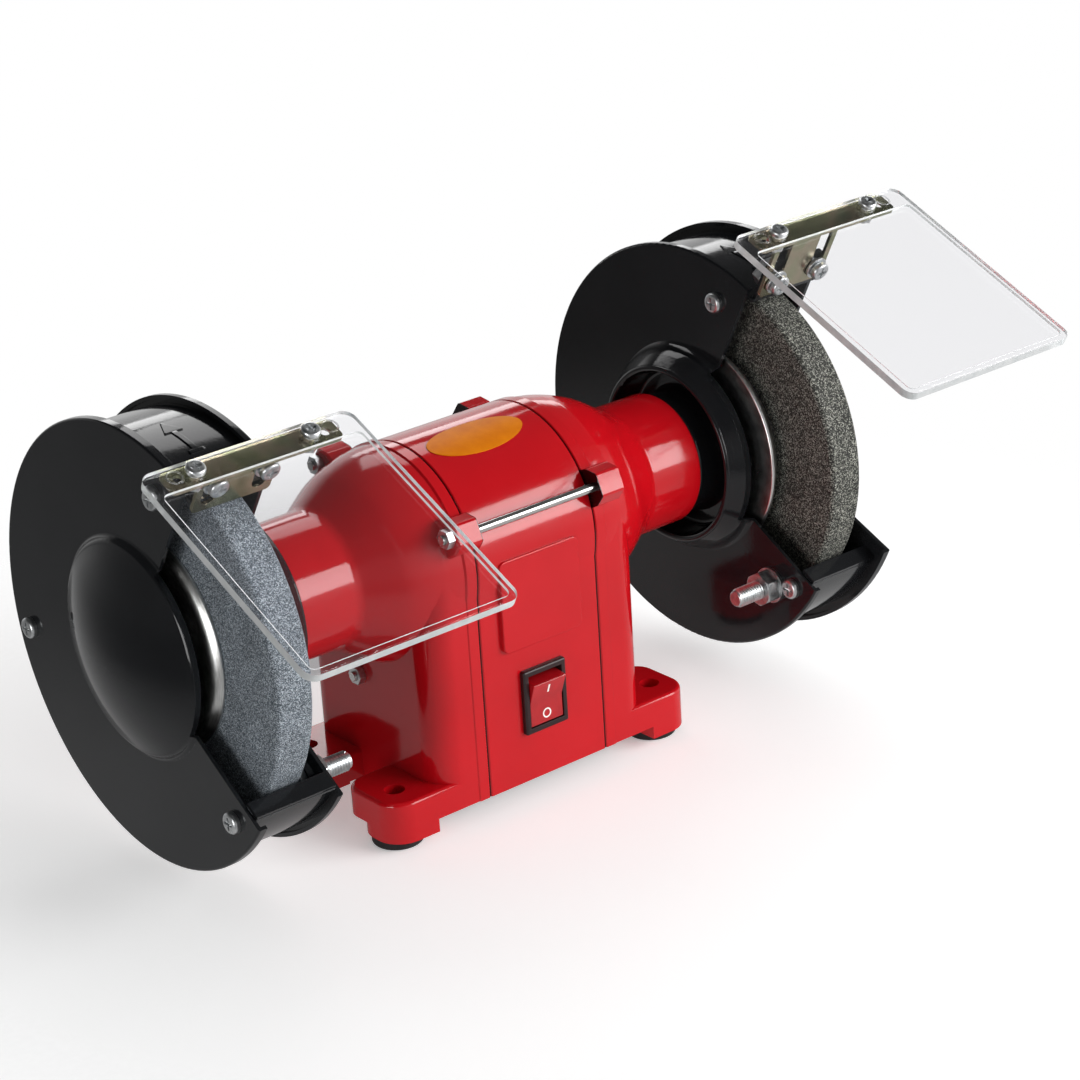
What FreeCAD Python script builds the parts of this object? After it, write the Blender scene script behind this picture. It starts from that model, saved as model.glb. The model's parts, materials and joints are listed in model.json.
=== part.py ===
import FreeCAD, Part
import math
import os

# Bench grinder with two wheels on one motor spindle.
# Millimetres. X runs along the spindle, the front faces -Y, Z is up.
# The origin lies on the bench, in the middle of the four mounting holes.
# Pieces are drawn about the spindle axis and lifted by SHAFT_HEIGHT when saved.
# Angles about the spindle are counted from the front, upwards.

# Driving dimensions of the whole machine
SHAFT_HEIGHT = 104.5
WHEEL_RADIUS = 75.0
WHEEL_WIDTH = 16.0
WHEEL_IN = 130.4
WHEEL_OUT = WHEEL_IN + WHEEL_WIDTH
FLANGE_SEAT = WHEEL_IN - 7.6
ARBOR_RADIUS = 6.35

# Housing
SHELL_RADIUS = 44.1
SHELL_HALF = 43.0
SHELL_END = 30.0
RIM_END = 36.0
BELL_RADIUS = 42.6
BELL_END = 54.0
BELL_CORNER = 12.0
BODY_BOTTOM = -94.5
WALL = 4.4
CAVITY_TOP = -43.0
NECK_RADIUS = 28.0
NECK_END = 102.0
FRONT_PAD_HALF = 20.0
FRONT_PAD_TOP = 2.8
FRONT_PAD_BOTTOM = -36.0
LABEL_X = -2.0

# Feet
FOOT_X = 66.5
FOOT_Y = 28.8
FOOT_HOLE = 4.2
PAD_TOP = -82.6
PAD_END = 77.5
PAD_CORNER = 11.0
PAD_INNER_Y = 9.0
BOSS_BOTTOM = -100.0
BOSS_INNER_Y = 16.4
RUBBER_RADIUS = 10.4
SPIGOT_RADIUS = 8.0

# Tie rods
ROD_ANGLES = (24.0, 144.0, 264.0)
ROD_CIRCLE = 48.0
ROD_RADIUS = 2.0
LUG_END = 42.0

# Motor
STATOR_RADIUS = 38.0
STATOR_BORE = 25.0
STATOR_HALF = 22.0
SLOT_COUNT = 12
ROTOR_RADIUS = 24.5
BEARING_IN = 76.0
BEARING_WIDTH = 11.0
BEARING_OUTER = 17.5
BEARING_BORE = 7.5
BALL_CIRCLE = 12.5
BALL_RADIUS = 2.9
BALL_COUNT = 8

# Guards
SHEET = 1.6
PLATE_FACE = 119.1
PLATE_RADIUS = 87.2
PLATE_HUB = 42.2
CUP_RADIUS = 26.0
COLLAR_LIP = 106.0
COVER_FACE = 157.7
COVER_RADIUS = 88.0
COVER_HUB = 42.4
DOME_RADIUS = 40.6
DOME_HEIGHT = 12.6
DOME_STEP = 3.0
DOME_FOOT = 42.9
BAND_RADIUS = 83.8
LIP_RADIUS = 76.4
EAR_HALF = 5.0
GUARD_MID = (PLATE_FACE + COVER_FACE) / 2
MOUTH_SPAN = 93.5
MOUTH_ANGLE = {"left": 58.5, "right": 62.5}
COVER_LAP = {"left": 0.0, "right": 6.0}
COVER_SPOTS = ((71.0, 100.5), (76.6, -11.5), (77.2, 222.5))
PLATE_SPOTS = ((71.0, 100.5), (77.2, -10.2), (77.2, 222.5))
HUB_SCREW_CIRCLE = 18.0
HUB_SCREW_ANGLES = (90.0, 210.0, 330.0)
STUD_SPOT = (69.2, -17.7)
STUD_RADIUS = 4.0
STUD_LENGTH = 21.0
STUD_NECK = 3.6
STUD_FREE_END = 8.8

# Eye shields, drawn with the slide straight up
TAB_TOP = 99.0
TAB_FRONT = 3.0
CLAMP_HEIGHT = 93.0
CLAMP_HALF = 11.0
GAP = 0.3
STRIP = 1.5
PLATE_HALF = 17.0
FLANGE_HALF = 36.5
FLANGE_DEPTH = 10.0
SLOT_HALF = 3.3
BRACKET_LOW = {"left": 78.0, "right": 86.0}
BRACKET_TOP = {"left": 105.0, "right": 121.6}
SLOT_CENTRES = {"left": (84.5, 93.4), "right": (92.6, 110.5)}
SHIELD_LIFT = {"left": 5.5, "right": 3.5}
SHIELD_HALF = 45.0
SHIELD_LENGTH = 104.5
SHIELD_THICK = 3.2
SHIELD_FLOOR = 2.2
SHIELD_RIM = 2.8
SHIELD_SEAT = 11.4
SHIELD_SCREW_HALF = 24.5

# Switch
SWITCH_X = -1.0
SWITCH_Z = -60.0
BEZEL_HALF_X = 10.8
BEZEL_HALF_Z = 13.8
BEZEL_PROUD = 2.4
WELL_HALF_X = 8.5
WELL_HALF_Z = 11.3
PIVOT_DEPTH = 4.5
ROCKER_TILT = 10.0

ORIGIN = FreeCAD.Vector(0, 0, 0)
X_AXIS = FreeCAD.Vector(1, 0, 0)
Y_AXIS = FreeCAD.Vector(0, 1, 0)
Z_AXIS = FreeCAD.Vector(0, 0, 1)


def vec(x, y, z):
    return FreeCAD.Vector(x, y, z)


def polar(radius, angle):
    """Y and Z of a point at an angle counted from the front, upwards."""
    turn = math.radians(angle)
    return -radius * math.cos(turn), radius * math.sin(turn)


def bar(radius, start, end, y=0.0, z=0.0):
    """A round bar along X."""
    return Part.makeCylinder(radius, end - start, vec(start, y, z), X_AXIS)


def ring(outer, inner, start, end):
    return bar(outer, start, end).cut(bar(inner, start, end))


def post(radius, x, y, low, high):
    """A round bar along Z."""
    return Part.makeCylinder(radius, high - low, vec(x, y, low), Z_AXIS)


def block(x0, x1, y0, y1, z0, z1):
    return Part.makeBox(x1 - x0, y1 - y0, z1 - z0, vec(x0, y0, z0))


def outline(points, place):
    """A flat face; a point of four numbers is an arc through its first pair."""
    edges = []
    last = points[0]
    for point in points[1:] + points[:1]:
        start = place(*last[-2:])
        end = place(*point[-2:])
        if len(point) == 4:
            edges.append(Part.Arc(start, place(*point[:2]), end).toShape())
        else:
            edges.append(Part.makeLine(start, end))
        last = point
    return Part.Face(Part.Wire(edges))


def upright(solid):
    """The same solid with its faces looking outwards."""
    return solid.reversed() if solid.Volume < 0 else solid


def turned(points):
    """A solid of revolution about the spindle from (x, radius) points."""
    face = outline(points, lambda x, r: vec(x, 0, r))
    return upright(face.revolve(ORIGIN, X_AXIS, 360))


def along_x(points, start, end):
    """A (y, z) outline drawn out along X."""
    face = outline(points, lambda y, z: vec(start, y, z))
    return upright(face.extrude(vec(end - start, 0, 0)))


def along_z(points, low, high):
    """An (x, y) outline drawn out along Z."""
    face = outline(points, lambda x, y: vec(x, y, low))
    return upright(face.extrude(vec(0, 0, high - low)))


def sector(outer, inner, low, high, start, end):
    """A piece of a ring between two angles."""
    middle = (low + high) / 2
    points = [
        polar(inner, low),
        polar(outer, low),
        polar(outer, middle) + polar(outer, high),
        polar(inner, high),
    ]
    far = outline_arc_back(points, polar(inner, middle), start)
    return upright(far.extrude(vec(end - start, 0, 0)))


def outline_arc_back(points, through, start):
    """A flat face across X whose last edge runs back to the start as an arc."""
    edges = []
    last = points[0]
    for point in points[1:]:
        first = vec(start, *last[-2:])
        second = vec(start, *point[-2:])
        if len(point) == 4:
            edges.append(Part.Arc(first, vec(start, *point[:2]), second).toShape())
        else:
            edges.append(Part.makeLine(first, second))
        last = point
    back = Part.Arc(vec(start, *last[-2:]), vec(start, *through), vec(start, *points[0]))
    edges.append(back.toShape())
    return Part.Face(Part.Wire(edges))


def hexagon(flats, start, end, y=0.0, z=0.0):
    """A six-sided bar along X."""
    corner = flats / math.sqrt(3)
    points = [polar(corner, 60 * i) for i in range(6)]
    return along_x([(y + a, z + b) for a, b in points], start, end)


def joined(shapes):
    first = shapes[0]
    return first.multiFuse(shapes[1:]).removeSplitter()


def less(shape, cutters):
    return shape.cut(Part.makeCompound(cutters))


def group(shapes):
    """Separate solids that share one node."""
    return Part.makeCompound(shapes)


def mirrored(shape):
    return shape.mirror(ORIGIN, X_AXIS)


def turned_to(shape, angle):
    """A shape drawn straight up, turned to an angle about the spindle."""
    moved = shape.copy()
    moved.rotate(ORIGIN, X_AXIS, 90 - angle)
    return moved


def on_side(shape, side):
    """A right-hand shape, mirrored for the left-hand end."""
    return mirrored(shape) if side == "left" else shape


def on_guard(shape, side):
    """A right-hand guard shape with its mouth drawn straight up, put in place."""
    return turned_to(on_side(shape, side), MOUTH_ANGLE[side])


def edges_where(shape, test):
    return [edge for edge in shape.Edges if test(edge.BoundBox)]


# Housing


def body_section(radius, half, start, end):
    """Cylindrical top standing on a straight pedestal."""
    arch = bar(radius, start, end)
    pedestal = block(start, end, -half, half, BODY_BOTTOM, 0)
    return joined([arch, pedestal])


def stator_shell():
    body = body_section(SHELL_RADIUS, SHELL_HALF, -SHELL_END, SHELL_END)
    ends = edges_where(body, lambda b: b.XLength < 0.01 and b.ZMax > BODY_BOTTOM + 0.01)
    body = body.makeChamfer(0.7, ends)
    proud = -SHELL_RADIUS - 0.9
    pad = block(-FRONT_PAD_HALF, FRONT_PAD_HALF, proud, -40, FRONT_PAD_BOTTOM, FRONT_PAD_TOP)
    corners = edges_where(pad, lambda b: b.YLength > 3 and b.XLength < 0.1 and b.ZLength < 0.1)
    pad = pad.makeFillet(3.0, corners)
    pad = pad.makeFillet(0.6, edges_where(pad, lambda b: b.YMax < proud + 0.1))
    body = joined([body, pad])
    inner = SHELL_HALF - WALL
    cavity = block(-SHELL_END, SHELL_END, -inner, inner, BODY_BOTTOM, CAVITY_TOP)
    switch_hole = block(
        SWITCH_X - 9.5, SWITCH_X + 9.5, -SHELL_HALF - 1, -inner + 1, SWITCH_Z - 12.5, SWITCH_Z + 12.5
    )
    cord_hole = Part.makeCylinder(7.0, 12, vec(0, inner - 4, -76), Y_AXIS)
    return less(body, [bar(STATOR_RADIUS, -SHELL_END, SHELL_END), cavity, switch_hole, cord_hole])


def bell_dome():
    """Shoulder and neck, turned about the spindle."""
    return turned([
        (RIM_END - 1, 0),
        (RIM_END - 1, 43.4),
        (RIM_END, 43.4),
        (49.0, 41.2, 60.0, 36.9),
        (67.2, 32.4, 72.5, 29.0),
        (74.5, 28.2, 78.0, NECK_RADIUS),
        (NECK_END - 2, NECK_RADIUS - 0.2),
        (NECK_END - 0.6, NECK_RADIUS - 0.8, NECK_END, NECK_RADIUS - 2.2),
        (NECK_END, 0),
    ])


def bell_pedestal():
    """Rounded end of the pedestal under the shoulder."""
    pedestal = body_section(BELL_RADIUS, BELL_RADIUS, SHELL_END + 1, BELL_END)
    end = edges_where(pedestal, lambda b: b.XMin > BELL_END - 0.01 and b.ZMax > BODY_BOTTOM + 0.01)
    return pedestal.makeFillet(BELL_CORNER, end)


def foot_pad():
    """One front foot pad with its boss for the rubber foot."""
    front = -BELL_RADIUS
    turn = PAD_END - PAD_CORNER
    slant = PAD_CORNER * (1 - math.sqrt(0.5))
    pad = along_z([
        (BELL_END - 14, front),
        (turn, front),
        (PAD_END - slant, front + slant, PAD_END, front + PAD_CORNER),
        (PAD_END, -PAD_INNER_Y - 9),
        (PAD_END - 2.6, -PAD_INNER_Y - 2.6, PAD_END - 9, -PAD_INNER_Y),
        (BELL_END - 14, -PAD_INNER_Y),
    ], BODY_BOTTOM, PAD_TOP)
    pad = pad.makeFillet(1.8, edges_where(pad, lambda b: b.ZMin > PAD_TOP - 0.01 and b.XMax > BELL_END))
    boss = along_z([
        (BELL_END + 2, front),
        (turn, front),
        (PAD_END - slant, front + slant, PAD_END, front + PAD_CORNER),
        (PAD_END, -BOSS_INNER_Y - PAD_CORNER),
        (PAD_END - slant, -BOSS_INNER_Y - slant, turn, -BOSS_INNER_Y),
        (BELL_END + 2, -BOSS_INNER_Y),
    ], BOSS_BOTTOM, BODY_BOTTOM)
    return joined([pad, boss])


def rod_lug():
    """Boss for a tie rod, drawn straight up."""
    half = [(8.2, 38), (7.6, 47), (4.6, 52.4)]
    other = [(-y, z) for y, z in reversed(half)]
    lug = along_x(half + other, SHELL_END, LUG_END)
    long_edges = edges_where(lug, lambda b: b.XLength > 5 and b.ZMin > 46)
    lug = lug.makeFillet(1.6, long_edges)
    rear = edges_where(lug, lambda b: b.XMin > LUG_END - 0.01 and b.ZMin > 45)
    return lug.makeChamfer(0.8, rear)


def bell_hollow():
    """Room inside an end bell: coil ends, neck bore, bearing seat and wiring space."""
    room = turned([
        (SHELL_END, 0),
        (SHELL_END, STATOR_RADIUS),
        (42.0, STATOR_RADIUS),
        (52.0, 34.0, 58.0, 26.0),
        (62.0, 18.0),
        (BEARING_IN, 18.0),
        (BEARING_IN, BEARING_OUTER),
        (BEARING_IN + BEARING_WIDTH, BEARING_OUTER),
        (BEARING_IN + BEARING_WIDTH, 9.0),
        (NECK_END, 9.0),
        (NECK_END, 0),
    ])
    inner = BELL_RADIUS - WALL
    wiring = block(SHELL_END, BELL_END - WALL, -inner, inner, BODY_BOTTOM, CAVITY_TOP)
    wiring = wiring.makeFillet(8.0, edges_where(wiring, lambda b: b.ZLength > 10 and b.XMin > SHELL_END + 1))
    return [room, wiring]


def rod_end(angle):
    """Where a rod's nut sits: on a lug, or under the neck on the pedestal's end."""
    return LUG_END if angle < 180 else BELL_END


def rod_reach(angle, side):
    """A rod runs through the left bell into a blind threaded hole in the right one."""
    return rod_end(angle) + 4.4 if side == "left" else rod_end(angle) - 1.6


def end_bell(end):
    rim = body_section(SHELL_RADIUS, SHELL_HALF, SHELL_END, RIM_END)
    ends = edges_where(rim, lambda b: b.XLength < 0.01 and b.ZMax > BODY_BOTTOM + 0.01)
    rim = rim.makeChamfer(0.7, ends)
    pads = [foot_pad()]
    pads.append(pads[0].mirror(ORIGIN, Y_AXIS))
    lugs = [turned_to(rod_lug(), angle) for angle in ROD_ANGLES[:2]]
    body = joined([rim, bell_pedestal(), bell_dome()] + pads + lugs)
    body = less(body, bell_hollow())
    corners = [post(5.0, 45.4, side * 33.4, BODY_BOTTOM + 1.6, -70) for side in (-1, 1)]
    body = joined([body] + corners)
    cuts = [post(1.7, 45.4, side * 33.4, BODY_BOTTOM, -84) for side in (-1, 1)]
    for side in (-1, 1):
        cuts.append(post(FOOT_HOLE, FOOT_X, side * FOOT_Y, BOSS_BOTTOM, PAD_TOP + 1))
        cuts.append(post(SPIGOT_RADIUS, FOOT_X, side * FOOT_Y, BOSS_BOTTOM, BOSS_BOTTOM + 2))
    for angle in ROD_ANGLES:
        cuts.append(bar(ROD_RADIUS, SHELL_END, rod_reach(angle, end), *polar(ROD_CIRCLE, angle)))
    for angle in HUB_SCREW_ANGLES:
        cuts.append(bar(2.5, NECK_END - 13, NECK_END, *polar(HUB_SCREW_CIRCLE, angle)))
    return less(body, cuts)


def tie_rods():
    rods = []
    for angle in ROD_ANGLES:
        ends = (-rod_reach(angle, "left"), rod_reach(angle, "right"))
        rods.append(bar(ROD_RADIUS, *ends, *polar(ROD_CIRCLE, angle)))
    return group(rods)


def tie_rod_nuts():
    nuts = []
    for angle in ROD_ANGLES:
        seat = rod_end(angle)
        spot = polar(ROD_CIRCLE, angle)
        nuts.append(hexagon(7.0, -seat - 3.2, -seat, *spot).cut(bar(ROD_RADIUS, -seat - 4, -seat, *spot)))
    return group(nuts)


def label_plate():
    """Oval sticker laid on the cylindrical top."""
    oval = Part.Ellipse(vec(LABEL_X, 0, 0), 22.8, 9.8).toShape()
    prism = Part.Face(Part.Wire([oval])).extrude(vec(0, 0, 60))
    skin = ring(SHELL_RADIUS + 0.3, SHELL_RADIUS, -SHELL_END, SHELL_END)
    return turned_to(skin.common(prism), 74.3)


def rubber_feet():
    feet = []
    for x in (-FOOT_X, FOOT_X):
        for y in (-FOOT_Y, FOOT_Y):
            foot = post(RUBBER_RADIUS, x, y, -SHAFT_HEIGHT, BOSS_BOTTOM)
            foot = foot.makeFillet(1.5, edges_where(foot, lambda b: b.ZMax < -SHAFT_HEIGHT + 0.01))
            foot = joined([foot, post(SPIGOT_RADIUS, x, y, BOSS_BOTTOM, BOSS_BOTTOM + 2)])
            feet.append(foot.cut(post(FOOT_HOLE, x, y, -SHAFT_HEIGHT, BOSS_BOTTOM + 2)))
    return group(feet)


def base_plate():
    reach = BELL_END - WALL - 0.3
    depth = BELL_RADIUS - WALL - 0.3
    low = BODY_BOTTOM + 0.3
    plate = block(-reach, reach, -depth, depth, low, BODY_BOTTOM + 1.6)
    corners = edges_where(plate, lambda b: b.ZLength > 1 and b.XLength < 0.1 and b.YLength < 0.1)
    plate = plate.makeFillet(8.0, corners)
    spots = [(x, y) for x in (-45.4, 45.4) for y in (-33.4, 33.4)]
    return less(plate, [post(1.9, x, y, low, low + 2) for x, y in spots])


def base_plate_screws():
    screws = []
    low = BODY_BOTTOM + 0.3
    for x in (-45.4, 45.4):
        for y in (-33.4, 33.4):
            screws.append(joined([post(2.8, x, y, low - 2, low), post(1.7, x, y, low, -85)]))
    return group(screws)


# Motor


def stator_core():
    core = ring(STATOR_RADIUS, STATOR_BORE, -STATOR_HALF, STATOR_HALF)
    slots = []
    for i in range(SLOT_COUNT):
        slot = joined([
            block(-STATOR_HALF, STATOR_HALF, -2.6, 2.6, 27.4, 33.0),
            block(-STATOR_HALF, STATOR_HALF, -1.1, 1.1, 24.0, 28.0),
        ])
        slots.append(turned_to(slot, 360 * i / SLOT_COUNT))
    return less(core, slots)


def stator_windings():
    """Copper lying in the slots, gathered into a round bundle at each end."""
    bundle = turned([(24.6, 27.4), (22.6, 31.0, 24.6, 34.6), (31.4, 34.6), (33.4, 31.0, 31.4, 27.4)])
    pieces = [bundle, mirrored(bundle)]
    for i in range(SLOT_COUNT):
        pieces.append(turned_to(block(-26, 26, -2.3, 2.3, 27.7, 32.7), 360 * i / SLOT_COUNT))
    return joined(pieces)


def shaft():
    right = [
        (BEARING_IN, 9.0),
        (BEARING_IN, BEARING_BORE),
        (FLANGE_SEAT, BEARING_BORE),
        (FLANGE_SEAT, ARBOR_RADIUS),
        (164.0, ARBOR_RADIUS),
        (165.0, 5.4),
        (165.0, 0),
    ]
    left = [(-x, r) for x, r in reversed(right)]
    return turned(left + right)


def rotor_core():
    return ring(ROTOR_RADIUS, 9.0, -STATOR_HALF, STATOR_HALF)


def rotor_cage():
    """Cast end ring with short fan blades, at each end of the rotor."""
    end = ring(24.0, 15.0, STATOR_HALF, STATOR_HALF + 5)
    blades = [turned_to(block(26, 35, -1, 1, 18, 24), 60 * i) for i in range(6)]
    end = joined([end] + blades)
    return group([end, mirrored(end)])


def ball_track():
    track = Part.makeTorus(BALL_CIRCLE, BALL_RADIUS + 0.1, ORIGIN, X_AXIS)
    track.translate(vec(BEARING_IN + BEARING_WIDTH / 2, 0, 0))
    return track


def bearing_outer_rings():
    race = ring(BEARING_OUTER, 14.2, BEARING_IN, BEARING_IN + BEARING_WIDTH).cut(ball_track())
    return group([race, mirrored(race)])


def bearing_inner_rings():
    race = ring(10.8, BEARING_BORE, BEARING_IN, BEARING_IN + BEARING_WIDTH).cut(ball_track())
    return group([race, mirrored(race)])


def bearing_balls():
    balls = []
    middle = BEARING_IN + BEARING_WIDTH / 2
    for i in range(BALL_COUNT):
        ball = Part.makeSphere(BALL_RADIUS, vec(middle, *polar(BALL_CIRCLE, 360 * i / BALL_COUNT)))
        balls += [ball, mirrored(ball)]
    return group(balls)


def capacitor():
    can = Part.makeCylinder(14.0, 46, vec(-23, 14, -66), X_AXIS)
    return can.makeFillet(1.5, can.Edges[:1] + can.Edges[2:])


def capacitor_clamp():
    """Strap round the capacitor with a foot on the base plate."""
    strap = bar(15.2, -6, 6, 14, -66).cut(bar(14.0, -6, 6, 14, -66))
    leg = block(-6, 6, 14, 15.4, BODY_BOTTOM + 1.6, -80.6)
    foot = block(-6, 6, 14, 27, BODY_BOTTOM + 1.6, BODY_BOTTOM + 3.0)
    return joined([strap, leg, foot])


def cord_grommet():
    """Rubber ring in the rear wall."""
    inner = SHELL_HALF - WALL
    outside = Part.makeCylinder(9.5, 2.5, vec(0, SHELL_HALF, -76), Y_AXIS)
    neck = Part.makeCylinder(7.0, WALL, vec(0, inner, -76), Y_AXIS)
    inside = Part.makeCylinder(9.0, 2.0, vec(0, inner - 2, -76), Y_AXIS)
    bore = Part.makeCylinder(4.0, 20, vec(0, inner - 5, -76), Y_AXIS)
    return joined([outside, neck, inside]).cut(bore)


# Switch


def switch_housing():
    face = -SHELL_HALF - BEZEL_PROUD
    left = SWITCH_X - BEZEL_HALF_X
    right = SWITCH_X + BEZEL_HALF_X
    bezel = block(left, right, face, -SHELL_HALF, SWITCH_Z - BEZEL_HALF_Z, SWITCH_Z + BEZEL_HALF_Z)
    bezel = bezel.makeFillet(1.0, edges_where(bezel, lambda b: b.YMax < face + 0.01 or b.YLength > 1))
    box = block(SWITCH_X - 9.5, SWITCH_X + 9.5, -SHELL_HALF, -24, SWITCH_Z - 12.5, SWITCH_Z + 12.5)
    well = block(-WELL_HALF_X, WELL_HALF_X, face - 1, face + 12, -WELL_HALF_Z, WELL_HALF_Z)
    well.translate(vec(SWITCH_X, 0, SWITCH_Z))
    bearings = bar(1.58, SWITCH_X - 9.5, SWITCH_X + 9.5, -SHELL_HALF + PIVOT_DEPTH, SWITCH_Z)
    return less(joined([bezel, box]), [well, bearings])


def switch_rocker():
    """Two faces that meet in a shallow vee, on a cross pin; the lower one is pressed in."""
    width = WELL_HALF_X - GAP
    middle = -6.6
    end = middle - 9.6 * math.tan(math.radians(ROCKER_TILT))
    body = along_x([
        (2.0, -8.0),
        (2.0, 8.0),
        (-1.0, 9.6),
        (end, 9.6),
        (middle, 0),
        (end, -9.6),
        (-1.0, -9.6),
    ], -width, width)
    body = joined([body, bar(1.5, -9.3, 9.3)])
    body.rotate(ORIGIN, X_AXIS, ROCKER_TILT)
    body.translate(vec(SWITCH_X, -SHELL_HALF + PIVOT_DEPTH, SWITCH_Z))
    return body


def switch_terminals():
    blades = []
    for x in (-5, 5):
        for z in (-6, 6):
            centre = SWITCH_X + x
            height = SWITCH_Z + z
            blades.append(block(centre - 0.4, centre + 0.4, -24, -16, height - 2.4, height + 2.4))
    return group(blades)


# Wheels on the spindle


def wheel():
    edge = 1.2
    return turned([
        (WHEEL_IN, ARBOR_RADIUS),
        (WHEEL_IN, WHEEL_RADIUS - edge),
        (WHEEL_IN + edge, WHEEL_RADIUS),
        (WHEEL_OUT - edge, WHEEL_RADIUS),
        (WHEEL_OUT, WHEEL_RADIUS - edge),
        (WHEEL_OUT, ARBOR_RADIUS),
    ])


def outer_flange():
    """Dished pressing that grips the wheel under the nut."""
    seat = WHEEL_OUT
    return turned([
        (seat, 34.0),
        (seat, 41.6),
        (seat + 0.3, 42.5, seat + 1.2, 42.5),
        (seat + 3.6, 39.5, seat + 4.6, 33.0),
        (seat + 5.6, 22.0, seat + 5.6, 13.0),
        (seat + 5.6, ARBOR_RADIUS),
        (seat + 3.2, ARBOR_RADIUS),
        (seat + 3.2, 22.0),
        (seat + 2.6, 30.5),
    ])


def inner_flange():
    """Turned disc against the shaft's shoulder, with a tapered edge and a relieved middle."""
    seat = WHEEL_IN
    return turned([
        (seat, 34.0),
        (seat, 42.0),
        (seat - 5.0, 46.6),
        (seat - 6.2, 46.8, seat - 6.8, 45.8),
        (seat - 7.4, 39.0, FLANGE_SEAT, 31.0),
        (FLANGE_SEAT, ARBOR_RADIUS),
        (seat - 1.6, ARBOR_RADIUS),
        (seat - 1.6, 33.0),
    ])


def spindle_nut():
    seat = WHEEL_OUT + 5.6
    nut = hexagon(19.0, seat, seat + 10)
    crown = turned([(seat, 0), (seat, 11.2), (seat + 9.2, 11.2), (seat + 10, 9.6), (seat + 10, 0)])
    return nut.common(crown).cut(bar(ARBOR_RADIUS, seat, seat + 10))


# Guards, drawn with the upper edge of the mouth straight up


def mouth(hub, lap=0.0):
    """The cut that opens a guard sheet towards the front; lap raises its lower edge."""
    return sector(110.0, hub, 90 - MOUTH_SPAN + lap, 90, NECK_END, 180)


def guard_plate(side):
    """Inner sheet: a cup on the neck's end, a flared collar round it and a turned rim."""
    back = PLATE_FACE + SHEET
    floor = NECK_END + SHEET
    lip = COLLAR_LIP
    wall = CUP_RADIUS - SHEET
    sheet = turned([
        (NECK_END, 10.0),
        (NECK_END, CUP_RADIUS - 1.5),
        (NECK_END + 0.45, CUP_RADIUS - 0.45, NECK_END + 1.5, CUP_RADIUS),
        (PLATE_FACE - 2, CUP_RADIUS),
        (PLATE_FACE - 0.6, CUP_RADIUS + 0.6, PLATE_FACE, CUP_RADIUS + 2),
        (PLATE_FACE, 32.4),
        (PLATE_FACE - 0.6, 33.6, PLATE_FACE - 2, 34.2),
        (lip + 1.2, 35.6),
        (lip, 37.0, lip + 1.3, 38.4),
        (PLATE_FACE - 5.1, 43.2),
        (PLATE_FACE - 1.6, 44.2, PLATE_FACE, 45.6),
        (PLATE_FACE, PLATE_RADIUS - 0.8),
        (PLATE_FACE + 0.3, PLATE_RADIUS - 0.3, PLATE_FACE + 0.8, PLATE_RADIUS),
        (PLATE_FACE + 2.9, PLATE_RADIUS),
        (PLATE_FACE + 2.9, PLATE_RADIUS - SHEET),
        (back, PLATE_RADIUS - SHEET),
        (back, 44.4),
        (PLATE_FACE - 4.0, 41.8),
        (lip + 2.8, 37.2),
        (back, 35.4),
        (back, wall),
        (floor, wall),
        (floor, 10.0),
    ])
    sheet = sheet.cut(mouth(PLATE_HUB))
    holes = [bar(2.6, PLATE_FACE - 1, back + 1, *polar(*spot)) for spot in PLATE_SPOTS]
    holes.append(bar(STUD_RADIUS + 0.1, PLATE_FACE - 1, back + 1, *polar(*STUD_SPOT)))
    placed = on_guard(less(sheet, holes), side)
    hub_holes = [bar(2.6, -180, 180, *polar(HUB_SCREW_CIRCLE, angle)) for angle in HUB_SCREW_ANGLES]
    return less(placed, hub_holes)


def cap_point(top, sphere, radius):
    """A point on a round cap, given its top, its sphere and its distance from the spindle axis."""
    return (top - sphere + math.sqrt(sphere * sphere - radius * radius), radius)


def guard_cover(side):
    """Outer sheet with a hollow dome over the spindle nut and a turned rim."""
    face = COVER_FACE
    back = COVER_FACE - SHEET
    top = COVER_FACE + DOME_HEIGHT
    rise = DOME_HEIGHT - DOME_STEP
    sphere = (rise * rise + DOME_RADIUS * DOME_RADIUS) / (2 * rise)
    hollow = sphere - SHEET
    under = top - SHEET
    sheet = turned([
        (top, 0),
        cap_point(top, sphere, DOME_RADIUS / 2) + cap_point(top, sphere, DOME_RADIUS),
        (face + 2.3, DOME_FOOT - 0.8, face + 1.3, DOME_FOOT),
        (face + 0.4, DOME_FOOT + 0.7, face, DOME_FOOT + 2.1),
        (face, COVER_RADIUS - 0.9),
        (face - 0.3, COVER_RADIUS - 0.3, face - 0.9, COVER_RADIUS),
        (face - 3.8, COVER_RADIUS),
        (face - 3.8, COVER_RADIUS - SHEET),
        (back, COVER_RADIUS - SHEET),
        (back, DOME_RADIUS + 3),
        cap_point(under, hollow, DOME_RADIUS - 1.2),
        cap_point(under, hollow, DOME_RADIUS / 2) + (under, 0),
    ])
    sheet = sheet.cut(mouth(COVER_HUB, COVER_LAP[side]))
    holes = [bar(2.6, back - 1, face + 1, *polar(*spot)) for spot in COVER_SPOTS]
    return on_guard(less(sheet, holes), side)


def band_ear(radius, angle, start):
    """Small tongue on the band that takes one screw."""
    tongue = block(start, start + SHEET, -EAR_HALF, EAR_HALF, radius - EAR_HALF, BAND_RADIUS - 0.6)
    tongue = tongue.makeFillet(4.0, edges_where(tongue, lambda b: b.XLength > 1 and b.ZMax < radius))
    hole = bar(2.6, start - 1, start + SHEET + 1, 0, radius)
    return turned_to(tongue.cut(hole), angle)


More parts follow.
